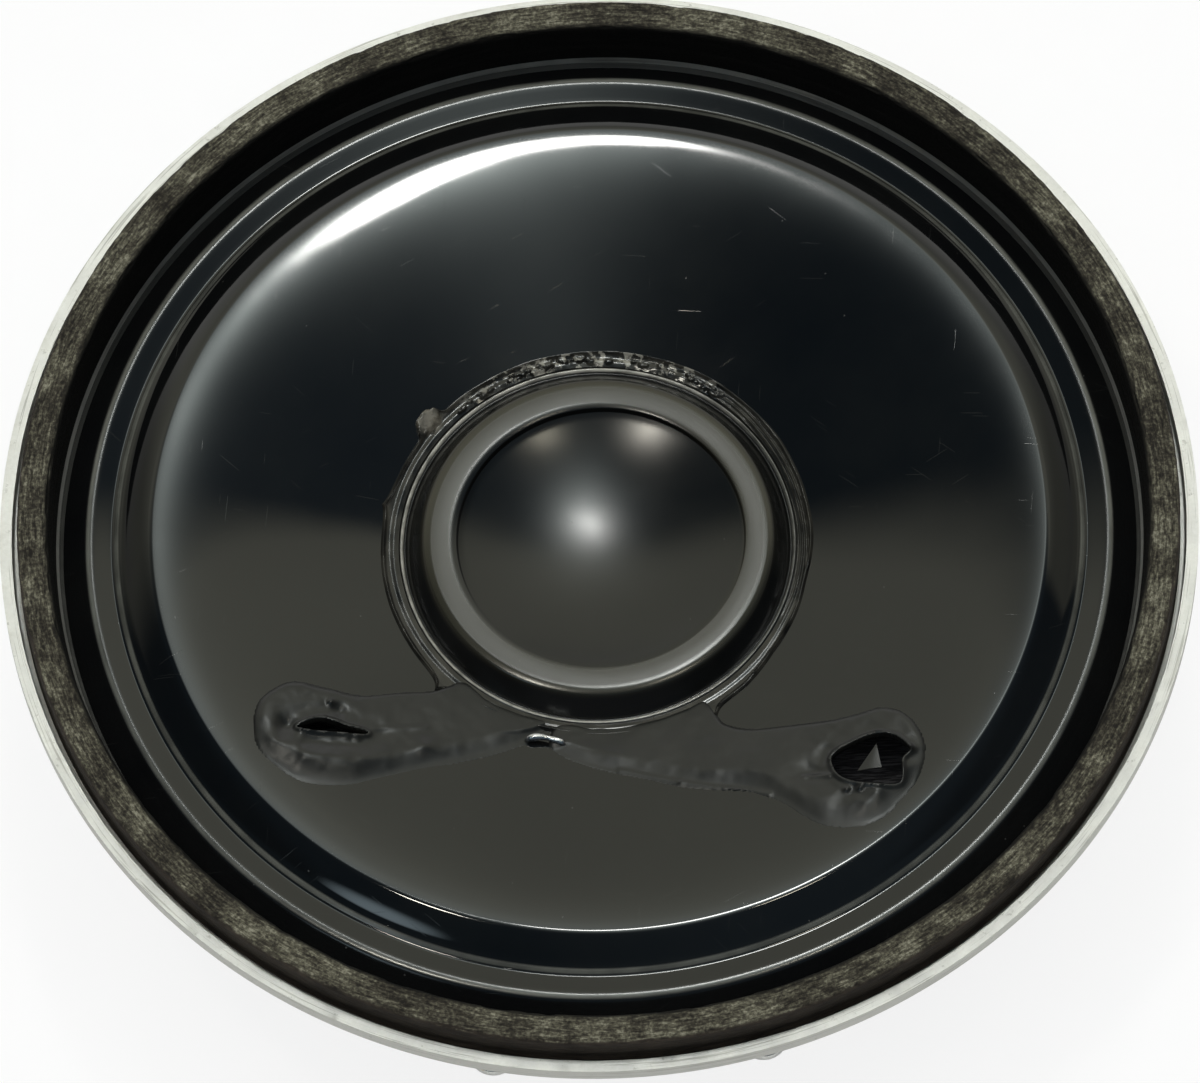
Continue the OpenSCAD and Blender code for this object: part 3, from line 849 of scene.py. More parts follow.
groove_foot_r = gasket_inner_r - 0.1
ridge_foot_r = ridge_r - 0.15
fold_start_r = crest_r + 0.03
fold_start_z = float(cone_z(crest_r))
ROUND_W, HOLLOW_W = 0.185, 0.28
FOLD = ((2.2, 20, ROUND_W), (20, 31, ridge_foot_r - fold_start_r - ROUND_W - HOLLOW_W), (31, 18, HOLLOW_W))

SLIT_LEFT = [
    (-12.95, -8.48), (-12.5, -8.24), (-11.95, -8.1), (-11.4, -8.26), (-10.85, -8.47), (-10.05, -8.7),
    (-10.3, -8.84), (-11.1, -8.78), (-11.9, -8.72), (-12.6, -8.64),
]
HOLE_RIGHT = [
    (9.2, -11.0), (10.7, -10.35), (11.7, -10.5), (12.3, -11.2), (11.95, -11.7), (11.8, -12.75),
    (10.5, -12.7), (9.5, -12.3), (9.1, -11.7),
]


def fold_path():
    """Section outwards from the crest. Each stretch of FOLD has its tilt at either end, and its width."""
    r, z = fold_start_r, fold_start_z
    points = [(r, z)]
    for start, end, width in FOLD:
        first = math.radians(start)
        bend = width / (math.sin(math.radians(end)) - math.sin(first))
        for tilt in np.radians(np.linspace(start, end, 12)[1:]):
            fall = bend * (math.cos(first) - math.cos(tilt))
            points.append((r + bend * (math.sin(tilt) - math.sin(first)), z - fall))
        r, z = points[-1]
    return points


def film_path():
    """Section of the film's front face, from the clamped rim to the coil."""
    fold = fold_path()[::-1]
    corners = [
        (gasket_r, z_rim), (gasket_inner_r - 0.03, z_rim, 0.02), (groove_foot_r, z_rim - 1.0, 0.02),
        (step_r, z_rim - 0.05, 0.6), (ridge_r + 0.15, z_rim - 0.265, 0.24),
        (ridge_r - 0.02, z_rim - 0.14, 0.07), fold[0],
    ]
    outer = rounded(corners, step=math.radians(6))
    radii = np.linspace(crest_r - 0.02, neck_r, 90)
    return outer[:-1] + fold + [(r, float(cone_z(r))) for r in radii]


def film_waves(p):
    """Slight unevenness of formed film."""
    r = reach(p)
    free = step_up(r, 7.4, 9.4) * (1 - step_up(r, 21.0, 22.4))
    return free * (layered(p * 0.11, 3, 2) * 0.012 + noise(p * 0.5, 9) * 0.0012)


def cut_film(made, outline):
    """Opens a hole of a flat outline in the film, with its edge on the outline."""
    loop = curve(outline, 6, closed=True)
    middle = loop.mean(0)
    size = max(np.hypot(*(loop - middle).T)) + 0.5
    b = bmesh.new()
    b.from_mesh(made.data)

    def place(v):
        return v.co.x / MM, v.co.y / MM

    near = [v for v in b.verts if math.dist(place(v), middle) < size]
    depth = inside_depth(*np.array([place(v) for v in near]).T, loop)
    bmesh.ops.delete(b, geom=[v for v, d in zip(near, depth) if d > 0.05], context="VERTS")
    for v in {v for e in b.edges if e.is_boundary for v in e.verts}:
        x, y = place(v)
        if math.dist((x, y), middle) < size:
            nearest = min(loop, key=lambda q: (q[0] - x) ** 2 + (q[1] - y) ** 2)
            v.co.x, v.co.y = nearest * MM
    b.to_mesh(made.data)
    b.free()


def film_diaphragm():
    """The one-piece film: clamped rim, surround and cone."""
    made = lathe("film_diaphragm", filled(film_path(), 0.22), 540, closed=False)
    displace(made, film_waves)
    cut_film(made, SLIT_LEFT)
    cut_film(made, HOLE_RIGHT)
    thicken(made, film_t)
    settle(made, "black_film", "film_rim", "film_surround", "film_cone", angle=50)
    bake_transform(made)
    weight = 1 - step_up(reach(coordinates(made)), cone_edge_r - 0.1, gasket_inner_r - 0.1)


# Dust cap and its bead of adhesive

crease_shift = (0.15, -0.05)
dish_lean = (0.006, -0.0087)
crease_r = 5.98
crease_drop = 0.3
shoulder_z = z_rim - 0.56
shoulder_r = 7.22
shoulder_top_r = 6.62
shoulder_curve = 6.0
shoulder_inner_r = 6.3
cap_dish = 0.98
brim_r = 8.6
DISH_STEPS = 48


def crown(r):
    """Height of the cap's shoulder."""
    inner = np.maximum(shoulder_inner_r - r, 0)
    return shoulder_z - (r - shoulder_top_r) ** 2 / 2 / shoulder_curve - 0.3 * inner**2


def dust_cap():
    """Film cap with a formed ridge at its foot, a raised shoulder and a dished middle."""
    inner, outer = crease_r + 0.1, shoulder_r - 0.12
    crease_z = shoulder_z - crease_drop
    foot = ((brim_r, 0.1, 0), (foot_ridge_r + 0.13, 0.09, 0.04), (foot_ridge_r, 0.2, 0.09),
            (foot_ridge_r - 0.12, 0.04, 0.04))
    corners = [(r, cone_z(r) + lift, bend) for r, lift, bend in foot]
    corners += [(shoulder_r + 0.12, crown(shoulder_r) - 0.06, 0.2), (outer, crown(outer))]
    shell = rounded(corners) + [(r, crown(r)) for r in np.linspace(outer, inner + 0.05, 16)[1:]]
    turn = (crease_r + 0.06, crown(crease_r + 0.06), 0.04)
    shell += rounded([(inner, crown(inner)), turn, (crease_r, crease_z)])
    ball = (crease_r**2 + cap_dish**2) / (2 * cap_dish)
    for a in math.asin(crease_r / ball) * (1 - np.arange(1, DISH_STEPS + 1) / DISH_STEPS):
        shell.append((ball * math.sin(a), crease_z - cap_dish + ball * (1 - math.cos(a))))
    made = lathe("dust_cap_film", filled(shell, 0.2), 480, closed=False, centre=CAP_CENTRE)
    p = coordinates(made)
    r = reach(p - np.array([*CAP_CENTRE, 0]))
    p[:, 2] += (p[:, :2] @ np.array(dish_lean)) * (1 - step_up(r, 5.7, 6.3))
    p[:, :2] += np.array(crease_shift) * (1 - step_up(r, 6.0, 8.0))[:, None]
    set_coordinates(made, p)
    displace(made, lambda p: layered(p * 0.22, 21, 2) * 0.008 * (1 - step_up(reach(p), 7.6, 8.4)))
    thicken(made, cap_t)
    settle(made, "cap_film", "dust_cap", body="cone", angle=50)


def skin(name, x, y, top, bottom, keep):
    """A closed layer over a grid of places, between a top and a bottom height."""
    cells = keep[:-1, :-1] & keep[1:, :-1] & keep[:-1, 1:] & keep[1:, 1:]
    rows, columns = cells.shape
    used = np.zeros(x.shape, bool)
    for di, dj in np.ndindex(2, 2):
        used[di : rows + di, dj : columns + dj] |= cells
    index = np.full(x.shape, -1)
    count = int(used.sum())
    index[used] = np.arange(count)
    points = np.vstack([np.stack([x[used], y[used], z[used]], -1) for z in (top, bottom)])
    faces = []
    for i, j in zip(*np.nonzero(cells)):
        a, b, c, d = index[i, j], index[i + 1, j], index[i + 1, j + 1], index[i, j + 1]
        faces += [(a, b, c, d), (d + count, c + count, b + count, a + count)]
        for p, q, ni, nj in ((a, b, i, j - 1), (b, c, i + 1, j), (c, d, i, j + 1), (d, a, i - 1, j)):
            if not (0 <= ni < rows and 0 <= nj < columns and cells[ni, nj]):
                faces.append((q, p, p + count, q + count))
    return tidy_mesh(mesh_object(name, points, faces))


def ring_skin(name, x, y, top, bottom):
    """A closed layer over a grid that runs round a ring. Its columns go outwards."""
    rows, columns = x.shape
    points = np.vstack([np.stack([x, y, z], -1).reshape(-1, 3) for z in (top, bottom)])
    under = rows * columns
    faces = []
    for i in range(rows):
        a, b = i * columns, (i + 1) % rows * columns
        for k in range(columns - 1):
            faces.append((a + k, b + k, b + k + 1, a + k + 1))
            faces.append((a + k + 1 + under, b + k + 1 + under, b + k + under, a + k + under))
        for k in (0, columns - 1):
            faces.append((a + k, b + k, b + k + under, a + k + under))
    return tidy_mesh(mesh_object(name, points, faces))


BEAD_INNER_R = 8.34
BEAD_EDGE = (
    (0, 9.0), (30, 9.05), (125, 9.05), (150, 9.0), (200, 9.12), (218, 9.12), (245, 8.9), (280, 8.9),
    (300, 9.1), (310, 9.12), (322, 8.95), (345, 8.92), (360, 9.0),
)
BEAD_SPURS = ((222, 0.5, 2.0), (298.5, 0.45, 1.8), (165, 0.2, 2.2))
BEAD_GRID = (1440, 34)
STRAND_R, STRAND_STEP = 8.36, 0.185
# How far the underside of a glue lies below the film's face
SUNK = 0.06


def bead_edge(angle):
    """Radius of the bead's outer edge, with the spurs where it runs out over the strips."""
    edge = np.interp(angle, *zip(*BEAD_EDGE))
    way = np.radians(angle)
    edge = edge + 0.03 * layered(np.stack([np.cos(way) * 4, np.sin(way) * 4, 0 * way], -1), 31, 2)
    for at, size, width in BEAD_SPURS:
        edge = edge + size * np.exp(-np.abs(angle - at) / width)
    return edge + 0.6 * hump(angle, DROP_ANGLE, 4.2, 4)


def lumps(angle, r, places):
    """Round lumps of glue at (angle, radius, size, height)."""
    total = 0 * r
    for at, far, size, height in places:
        along = np.radians(angle - at) * far
        gap = np.hypot(along / 1.6, r - far) / size
        gap = gap * (1 + 0.3 * noise(np.stack([angle * 0.9, r * 9, 0 * r + at], -1), 43))
        total = np.maximum(total, height * np.sqrt(np.clip((1 - gap**2) * 1.7, 0, 1)))
    return total


def bead_lumps():
    """Broken-up glue along the far side: four large pieces and many small ones."""
    rng = np.random.default_rng(11)
    places = [(92, 8.7, 0.2, 0.2), (97, 8.74, 0.16, 0.17), (102, 8.7, 0.22, 0.22), (110, 8.68, 0.14, 0.16)]
    for _ in range(40):
        at = rng.uniform(48, 130)
        places.append((at, rng.uniform(8.48, 8.72), rng.uniform(0.06, 0.13), rng.uniform(0.09, 0.17)))
    return places


def cap_bead():
    """Clear glue over the cap's brim: a thin raised edge, strands on the right, lumps and a drop behind."""
    around = np.linspace(0, 360, BEAD_GRID[0], endpoint=False)
    angle, t = np.meshgrid(around, np.linspace(0, 1, BEAD_GRID[1]), indexing="ij")
    edge = bead_edge(angle)
    r = BEAD_INNER_R + (edge - BEAD_INNER_R) * t
    way = np.radians(angle)
    x = CAP_CENTRE[0] + r * np.cos(way)
    y = CAP_CENTRE[1] + r * np.sin(way)
    place = np.stack([np.cos(way) * 5, np.sin(way) * 5, r * 0.5], -1)
    depth = edge - r
    calm = 1 - 0.45 * hump(angle, 292, 28, 4)
    rim = 0.1 * calm * hump(depth, 0.11, 0.065) * (1 + 0.3 * noise(place * 1.5, 35))
    right = hump((angle + 180) % 360 - 180, 14, 36, 4)
    wander = 0.06 * noise(place * 0.8, 37)
    waves = np.cos((r - STRAND_R + wander) * 2 * math.pi / STRAND_STEP)
    strands = 0.045 * right * waves * step_up(depth, 0.05, 0.2)
    far = step_up(angle, 30, 60) * (1 - step_up(angle, 125, 150))
    body = 0.14 - 0.07 * step_up(r, 8.5, 8.78) + rim + strands + 0.02 * far * layered(place * 3, 41, 2)
    body = body + lumps(angle, r, bead_lumps())
    height = body * np.sqrt(np.clip(depth / 0.1, 0, 1))
    drop = lumps(angle, r, [(DROP_ANGLE, DROP_REACH, DROP_SIZE, DROP_HEIGHT)])
    height = np.maximum(height, drop * np.sqrt(np.clip(depth / 0.08, 0, 1)))
    surface = cone_z(np.hypot(x, y))
    made = ring_skin("cap_bead", x, y, surface + height, surface - SUNK)
    settle(made, "clear_adhesive", "cap_adhesive", body="cone", angle=60)


# Adhesive over the leads

LEFT_EDGE = [
    (-5.9, -5.95), (-6.7, -6.25), (-7.4, -6.5), (-8.6, -6.6), (-10.2, -6.8), (-11.6, -6.5), (-13.0, -6.2),
    (-13.9, -6.6), (-14.5, -7.2), (-14.75, -8.2), (-14.6, -9.4), (-13.7, -10.5), (-12.6, -11.15),
    (-11.0, -11.25), (-9.5, -10.9), (-7.6, -10.4), (-5.7, -9.95), (-4.3, -9.5), (-3.4, -9.1),
    (-2.8, -8.6), (-2.6, -8.0), (-3.8, -7.5), (-5.0, -6.8),
]
RIGHT_EDGE = [
    (3.9, -7.45), (4.35, -8.1), (4.75, -8.8), (5.8, -9.2), (7.2, -9.25), (9.0, -9.25), (10.3, -9.1),
    (11.2, -8.95), (12.1, -9.3), (12.7, -10.1), (12.95, -11.2), (12.6, -12.5), (11.9, -13.4), (11.1, -14.2),
    (10.0, -14.6), (8.6, -14.4), (7.7, -13.8), (6.8, -13.0), (5.6, -12.35), (4.2, -12.1), (2.9, -11.85),
    (1.4, -11.3), (-0.4, -10.7), (-1.6, -10.15), (-2.5, -9.45), (-2.5, -8.75), (-2.0, -8.15),
    (-0.5, -8.38), (1.6, -8.25), (3.0, -7.85),
]
LEFT_BLOB, RIGHT_BLOB = (-12.4, -8.9), (10.6, -12.2)

# Dents and lumps in the strips: x, y, size and lift
LEFT_MARKS = [
    (-11.5, -7.3, 0.14, 0.16), (-11.2, -7.65, 0.3, -0.14), (-13.3, -8.35, 0.4, -0.16),
    (-12.9, -9.0, 0.35, 0.08), (-7.8, -9.4, 0.45, 0.1), (-10.5, -9.0, 0.16, 0.09),
    (-10.9, -8.97, 0.14, 0.07), (-12.6, -10.0, 0.7, 0.07), (-10.9, -10.3, 0.8, 0.05),
    (-9.6, -8.9, 0.5, -0.05),
]
RIGHT_MARKS = [
    (8.1, -11.7, 0.6, -0.16), (9.6, -12.85, 0.13, 0.14), (10.15, -12.85, 0.12, 0.12),
    (12.4, -11.2, 0.16, 0.14), (10.9, -13.2, 0.3, 0.07), (9.4, -13.8, 0.7, -0.08), (8.9, -11.0, 0.5, -0.1),
    (11.9, -12.9, 0.35, 0.06),
]

# Stretches of wire that show through the strips: both ends and height
LEFT_WIRE = [((-9.8, -8.5), (-7.6, -8.4), 0.03)]
RIGHT_WIRE = [
    ((0.3, -10.75), (2.8, -11.6), 0.04), ((2.8, -11.6), (6.4, -12.6), 0.05),
    ((7.9, -11.95), (8.9, -12.05), 0.07),
]
STRIP_STEP = 0.065
FLAP = ((10.1, -11.9, 0.0), (11.1, -11.85, 0.02), (10.95, -10.75, 0.14))


def strip_height(x, y, loop, seed, blob, hollow, marks):
    """Height of a cured strip above the film: full in its blob, and steeper at its far edge."""
    depth = inside_depth(x, y, loop)
    opening = inside_depth(x, y, hollow)
    leaning = (inside_depth(x, y + 0.25, loop) - inside_depth(x, y - 0.25, loop)) / 0.5
    near = hump(np.hypot(x - blob[0], y - blob[1]), 0, 2.4)
    edge_w = 0.3 + 0.3 * near + 0.8 * np.clip(leaning, 0, 1)
    share = np.clip(depth / edge_w, 0, 1)
    round_edge = np.sqrt(np.clip(1 - (1 - share) ** 2, 0, 1))
    soft_edge = share * share * (3 - 2 * share)
    rise = round_edge + (soft_edge - round_edge) * np.clip(leaning * 1.5, 0, 1)
    place = np.stack([x, y, 0 * x], -1)
    uneven = 1 + 0.22 * layered(place * 0.45, seed, 2) + 0.1 * layered(place * 1.5, seed + 9, 2)
    sunk = -0.1 * hump(opening, -0.5, 0.4) * near
    height = (0.17 + 0.2 * near) * uneven + sunk + 0.1 * hump(opening, -0.06, 0.08)
    for mx, my, size, lift in marks:
        height = height + lift * hump(np.hypot(x - mx, y - my), 0, size)
    return np.where(depth > 0, np.maximum(height, 0.03) * rise, -0.03)


def strip(name, edge, hollow, blob, seed, wire, marks):
    """One strip of adhesive with its torn opening, and the wire that shows along it."""
    loop, hollow = curve(edge, 6, closed=True), curve(hollow, 6, closed=True)
    (x0, y0), (x1, y1) = loop.min(0) - 0.2, loop.max(0) + 0.2
    x, y = np.meshgrid(np.arange(x0, x1, STRIP_STEP), np.arange(y0, y1, STRIP_STEP))
    height = strip_height(x, y, loop, seed, blob, hollow, marks)
    place = np.stack([x, y], -1)
    for a, b, size in wire:
        a, b = np.array(a), np.array(b)
        t = np.clip(((place - a) @ (b - a)) / ((b - a) @ (b - a)), 0, 1)
        gap = np.linalg.norm(place - a - t[..., None] * (b - a), axis=-1)
        height = np.where(height > 0, height + size * hump(gap, 0, 0.12), height)
    surface = cone_z(np.hypot(x, y))
    made = skin(name, x, y, surface + height, surface - SUNK, inside_depth(x, y, loop) > -0.12)
    return combine(made, prism("cutter", hollow, z_rim - 4, z_rim + 3))


def flap(points, thickness):
    """A torn corner of the skin, folded up in the opening."""
    a, b, c = (np.array(p, float) for p in points)
    rows = 12
    grid, faces, start = [], [], 0
    for i in range(rows + 1):
        t = i / rows
        left, right = a + (c - a) * t, b + (c - b) * t
        for j in range(rows + 1 - i):
            s = j / max(rows - i, 1)
            bulge = 0.04 * math.sin(math.pi * s) * (1 - t)
            grid.append(left + (right - left) * s + np.array([0, 0, bulge]))
    for i in range(rows):
        width = rows + 1 - i
        for j in range(width - 1):
            faces.append((start + j, start + j + 1, start + width + j))
            if j < width - 2:
                faces.append((start + j + 1, start + width + j + 1, start + width + j))
        start += width
    return thicken(mesh_object("flap", grid, faces), thickness, 0)


def lead_strips():
    left = strip("lead_strip_left", LEFT_EDGE, SLIT_LEFT, LEFT_BLOB, 51, LEFT_WIRE, LEFT_MARKS)
    settle(left, "lead_adhesive", "lead_adhesive_left", body="cone", angle=60)
    right = strip("lead_strip_right", RIGHT_EDGE, HOLE_RIGHT, RIGHT_BLOB, 61, RIGHT_WIRE, RIGHT_MARKS)
    fold = flap([on_cone(*at) for at in FLAP], 0.05)
    right = tidy_mesh(join("lead_strip_right_whole", [right, fold]), 1e-5)
    right.name = "lead_strip_right"
    settle(right, "lead_adhesive", "lead_adhesive_right", body="cone", angle=60)


# Leads

TERMINALS = {"left": (-terminal_x, -terminal_y), "right": (terminal_x, -terminal_y)}
HOLE_LEFT_AT = (-11.3, -9.15)
HOLE_RIGHT_AT = (10.3, -13.1)
GLINT = (
    (-3.5, -8.95, 0.05), (-3.32, -8.95, 0.2), (-2.95, -8.93, 0.24), (-2.6, -9.0, 0.23),
    (-2.25, -9.12, 0.22), (-2.03, -9.22, 0.15), (-1.95, -9.3, 0.0),
)


def coil_lead(side, angle, way, hole):
    """The lead from the winding through the neck and along the cone under its strip."""
    out = coil_r + lead_r + 0.01
    points = [(*polar(out, angle), z_coil - 0.1), (*polar(out, angle), z_coil + 1)]
    for r, lift in ((out + 0.3, -0.35), (out + 0.9, -0.25), (bead_r, -0.1)):
        points.append(on_cone(*polar(r, angle), lift))
    points += [on_cone(x, y, -0.04) for x, y in way]
    points += [on_cone(*hole, -0.03), on_cone(*hole, -0.35)]
    made = tube("coil_lead_wire_" + side, curve(points, 10), lead_r)
    settle(made, "enamelled_wire", "coil_lead_" + side, body="cone")


def flying_lead(side, hole, way):
    """The free stretch behind the cone, between the film and its eyelet."""
    x, y = TERMINALS[side]
    points = [on_cone(*hole, -0.3), on_cone(*hole, -0.8), (*way, z_floor_top + 1.8)]
    points += [(x, y, z) for z in (z_floor_top + 0.7, z_floor, z_lug - 0.4)]
    made = tube("flying_lead_wire_" + side, curve(points, 12), lead_r)
    settle(made, "enamelled_wire", "flying_lead_" + side)
    end = tuple(c * MM for c in on_cone(*hole, -0.3))
    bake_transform(made)


def lead_loop():
    """Loop of bare wire that stands out of the adhesive beside the bead."""
    route = curve([on_cone(*at) for at in GLINT], 10)
    share = np.linspace(0, 1, len(route))
    thick = lead_r * np.interp(share, [0, 0.25, 0.5, 0.8, 1], [1.0, 1.7, 1.1, 1.5, 0.8])
    settle(tube("lead_loop", route, thick, 16), "solder", body="cone")


# Gasket


def ring(name, corners, longest, segments=360):
    """A closed ring of a section with rounded corners and no step longer than this."""
    return lathe(name, filled(rounded(corners, closed=True), longest, True), segments)


def flat_ring(r0, r1, z0, z1, bends):
    """Corners of a flat ring's section, with the radius of each."""
    places = ((r0, z0), (r1, z0), (r1, z1), (r0, z1))
    return [(*place, bend) for place, bend in zip(places, bends)]


def spread(made, field):
    """Moves each point to the radius field(points, radius)."""
    p = coordinates(made)
    r = reach(p)
    p[:, :2] *= (field(p, r) / r)[:, None]
    set_coordinates(made, p)


def gasket():
    """Pressed card ring with a fibrous face, ragged edges and a thin lip pressed down into the groove."""
    corners = [
        (gasket_inner_r - 0.1, z_rim - 0.84), (gasket_inner_r - 0.04, z_rim, 0.02), (gasket_r, z_rim, 0.05),
        (gasket_r, z_front, 0.2), (gasket_inner_r, z_front, 0.22), (gasket_inner_r - 0.2, z_rim - 0.87),
    ]
    made = ring("card_gasket", corners, 0.07, 1080)

    def card(p):
        r = reach(p)
        grain = np.stack([p[:, 0] * 0.9, p[:, 1] * 0.9, (r + p[:, 2]) * 5], -1)
        near_face = step_up(p[:, 2], z_front - 0.4, z_front)
        inner = (1 - step_up(r, gasket_inner_r, gasket_inner_r + 0.25)) * near_face
        outer = step_up(r, gasket_r - 0.25, gasket_r) * near_face
        torn = step_up(layered(p * np.array([1.1, 1.1, 2.2]), 73, 3), 0.1, 0.9)
        rough = -0.02 + 0.013 * layered(grain, 71, 2) - 0.014 * np.abs(layered(p * 3, 77, 2))
        return step_up(p[:, 2], z_rim + 0.1, z_rim + 0.3) * rough - 0.08 * (inner + outer) * torn

    displace(made, card)
    settle(made, "gasket_card", "front_gasket", body="frame", angle=70)


def rim_glue():
    """Adhesive squeezed out between the film's rim and the shelf."""
    inner = shelf_r + 0.5
    top = z_shelf + 0.05
    made = lathe("rim_glue", [(inner, z_shelf), (gasket_r, z_shelf), (gasket_r, top), (inner, top)], 480)

    def squeezed(p, r):
        squeeze = 0.09 * layered(p * np.array([0.6, 0.6, 0]), 115, 3)
        return r + np.where(r < inner + 0.1, squeeze, np.clip(squeeze, -0.1, 0.0) - 0.06)

    spread(made, squeezed)
    settle(made, "amber_adhesive", "rim_adhesive", body="frame", angle=50)


# Frame

stakes = [polar(stake_r, 45 + 90 * i) for i in range(4)]


def slot_outline(middle):
    """Outline of a curved vent with round ends."""
    first, last = middle - vent_angle / 2, middle + vent_angle / 2
    half_w = vent_w / 2
    return (
        arc((0, 0), vent_r + half_w, first, last, 40)
        + arc(polar(vent_r, last), half_w, last, last + 180, 20)[1:-1]
        + arc((0, 0), vent_r - half_w, last, first, 34)
        + arc(polar(vent_r, first), half_w, first + 180, first + 360, 20)[1:-1]
    )


def steel_frame():
    """Pressed dish with a shelf, an upturned lip, vents and rivet holes."""
    lip_r = rim_r - steel_t
    corners = [(floor_bore_r, z_floor_top), (wall_foot_r, z_floor_top, 0.8), (shelf_r, z_shelf, 0.7)]
    inside = rounded(corners + [(lip_r, z_shelf, 0.12), (lip_r, z_lip)])
    outside = moved(inside, -steel_t)
    made = lathe("steel_frame", filled(inside + outside[::-1], 0.5, True), 540)
    holes = [slot_outline(-90 + 60 * i) for i in range(1, 6)]
    holes += [circle(at, stake_size + 0.02) for at in stakes]
    holes += [circle(at, eyelet_clearance_r, 72) for at in TERMINALS.values()]
    holes.append(circle((0, -terminal_y), rivet_hole_r))
    drill(made, z_floor - 1, z_floor_top + 1, *holes)
    soften(made, 0.07, 3)

    def pressed(p):
        r = reach(p)
        lip = step_up(r, rim_r - 0.62, rim_r - 0.45) * step_up(p[:, 2], z_lip - 0.5, z_lip - 0.05)
        ragged = -0.02 * lip * np.abs(layered(p * 1.7, 83, 3)) * step_up(-r, -rim_r + 0.2, -rim_r + 0.4)
        return ragged - 0.006 * lip * np.abs(layered(p * 0.6, 85, 2))

    displace(made, pressed)
    settle(made, "tinned_steel", "frame", body="frame", angle=30)


def cloth_pad():
    """Non-woven cloth over the vents inside the dish, cut away over the terminals."""
    top = z_floor_top + 0.3
    inner, outer = stake_r + stake_size + 0.6, wall_foot_r - 0.6
    made = ring("cloth_pad", flat_ring(inner, outer, z_floor_top, top, (0, 0, 0.1, 0.1)), 0.25, 480)
    half = high("terminal_board", 0)
    box = [(-half, -wall_foot_r), (half, -wall_foot_r), (half, 0), (-half, 0)]
    combine(made, prism("cutter", box, z_floor_top - 1, top + 1))
    displace(made, lambda p: -0.04 * step_up(p[:, 2], z_floor_top + 0.1, top) * abs(layered(p * 2.1, 91)))
    settle(made, "damping_cloth", "damping_cloth", body="frame", angle=60)


# Magnet system


def top_plate():
    """Steel ring, with its four stakes upset over the floor of the frame."""
    section = flat_ring(plate_bore_r, plate_r, z_plate, z_floor, (0.1, 0.2, 0.25, 0.1))
    made = ring("top_plate_steel", section, 0.6)
    head = rounded([
        (0, z_floor - 0.4), (stake_size, z_floor - 0.4), (stake_size, z_floor_top),
        (stake_size + 0.35, z_floor_top, 0.05), (stake_size + 0.1, z_floor_top + 0.25, 0.12),
        (0.4, z_floor_top + 0.2, 0.1), (0, z_floor_top + 0.14),
    ])
    heads = [lathe("head", head, 48, centre=at) for at in stakes]
    combine(made, join("heads", heads), "UNION")
    settle(made, "zinc_plated_steel", "top_plate", body="frame", angle=30)


def magnet():
    """Ferrite ring with small chips broken out of its edges."""
    z0, z1 = low("magnet_ring", 2), high("magnet_ring", 2)
    section = flat_ring(magnet_bore_r, magnet_r, z0, z1, (0.1, 0.35, 0.35, 0.1))
    made = ring("ferrite_ring", section, 0.16, 540)

    def worn(p):
        side = step_up(reach(p), magnet_r - 0.5, magnet_r - 0.1)
        front = step_up(p[:, 2], z1 - 0.6, z1 - 0.15)
        rear = step_up(-p[:, 2], -z0 - 0.6, -z0 - 0.15)
        edge = side * np.maximum(front, rear)
        chips = step_up(layered(p * 0.55, 95, 3), 0.75, 1.05) * 0.28 * edge
        return -chips - side * 0.012 * np.abs(layered(p * 1.5, 97, 3))

    displace(made, worn)
    settle(made, "ferrite", "magnet_ring", body="frame", angle=50)


def glue_line(end, z, up):
    """Epoxy squeezed out of a magnet face into an uneven fillet against the plate."""
    fillet, against_r = 0.4, plate_r + 0.02
    base = z if up > 0 else z + glue_t
    corners = (
        (magnet_bore_r + 0.5, 0), (plate_r + fillet, 0, 0.02), (plate_r + 0.12, 0.15, 0.5),
        (against_r, glue_t + fillet), (against_r, glue_t), (magnet_bore_r + 0.5, glue_t),
    )
    path = rounded([(r, base + up * rise, *bend) for r, rise, *bend in corners], closed=True)
    made = lathe("magnet_glue_line_" + end, path, 480)

    def squeezed(p, r):
        uneven = 1 + 0.45 * layered(p * np.array([0.35, 0.35, 0]), 101 + up, 3)
        return np.where(r > plate_r + 0.03, against_r + np.clip((r - against_r) * uneven, 0, 0.75), r)

    spread(made, squeezed)
    settle(made, "dark_epoxy", "magnet_glue_" + end, body="frame", angle=50)


def back_plate():
    """Steel disc with a rounded rim and a hole for the pole's swaged end."""
    section = flat_ring(swage_hole_r, plate_r, 0, z_magnet, (0.02, 0.35, 0.2, 0.02))
    made = ring("back_plate_steel", section, 0.4)
    settle(made, "zinc_plated_steel", "back_plate", body="frame", angle=30)


def pole():
    top = high("pole_piece", 2)
    corners = [
        (0, 0.16), (2.6, 0.14, 0.5), (3.05, 0.1, 0.1), (swage_r, 0.12, 0.05), (swage_r, z_magnet),
        (pole_r, z_magnet, 0.02), (pole_r, top, 0.3), (0, top),
    ]
    made = lathe("pole_steel", filled(rounded(corners), 0.4), 300, closed=False)
    settle(made, "zinc_plated_steel", "pole_piece", body="frame", angle=30)


# Coil and neck


def former():
    z0, z1 = low("coil_former", 2), high("coil_former", 2)
    made = ring("paper_former", flat_ring(coil_r - 0.1, coil_r, z0, z1, (0.02, 0.02, 0.02, 0.02)), 0.5, 240)
    displace(made, lambda p: 0.004 * layered(p * 1.5, 111, 2))
    settle(made, "former_paper", "coil_former", body="cone", angle=50)


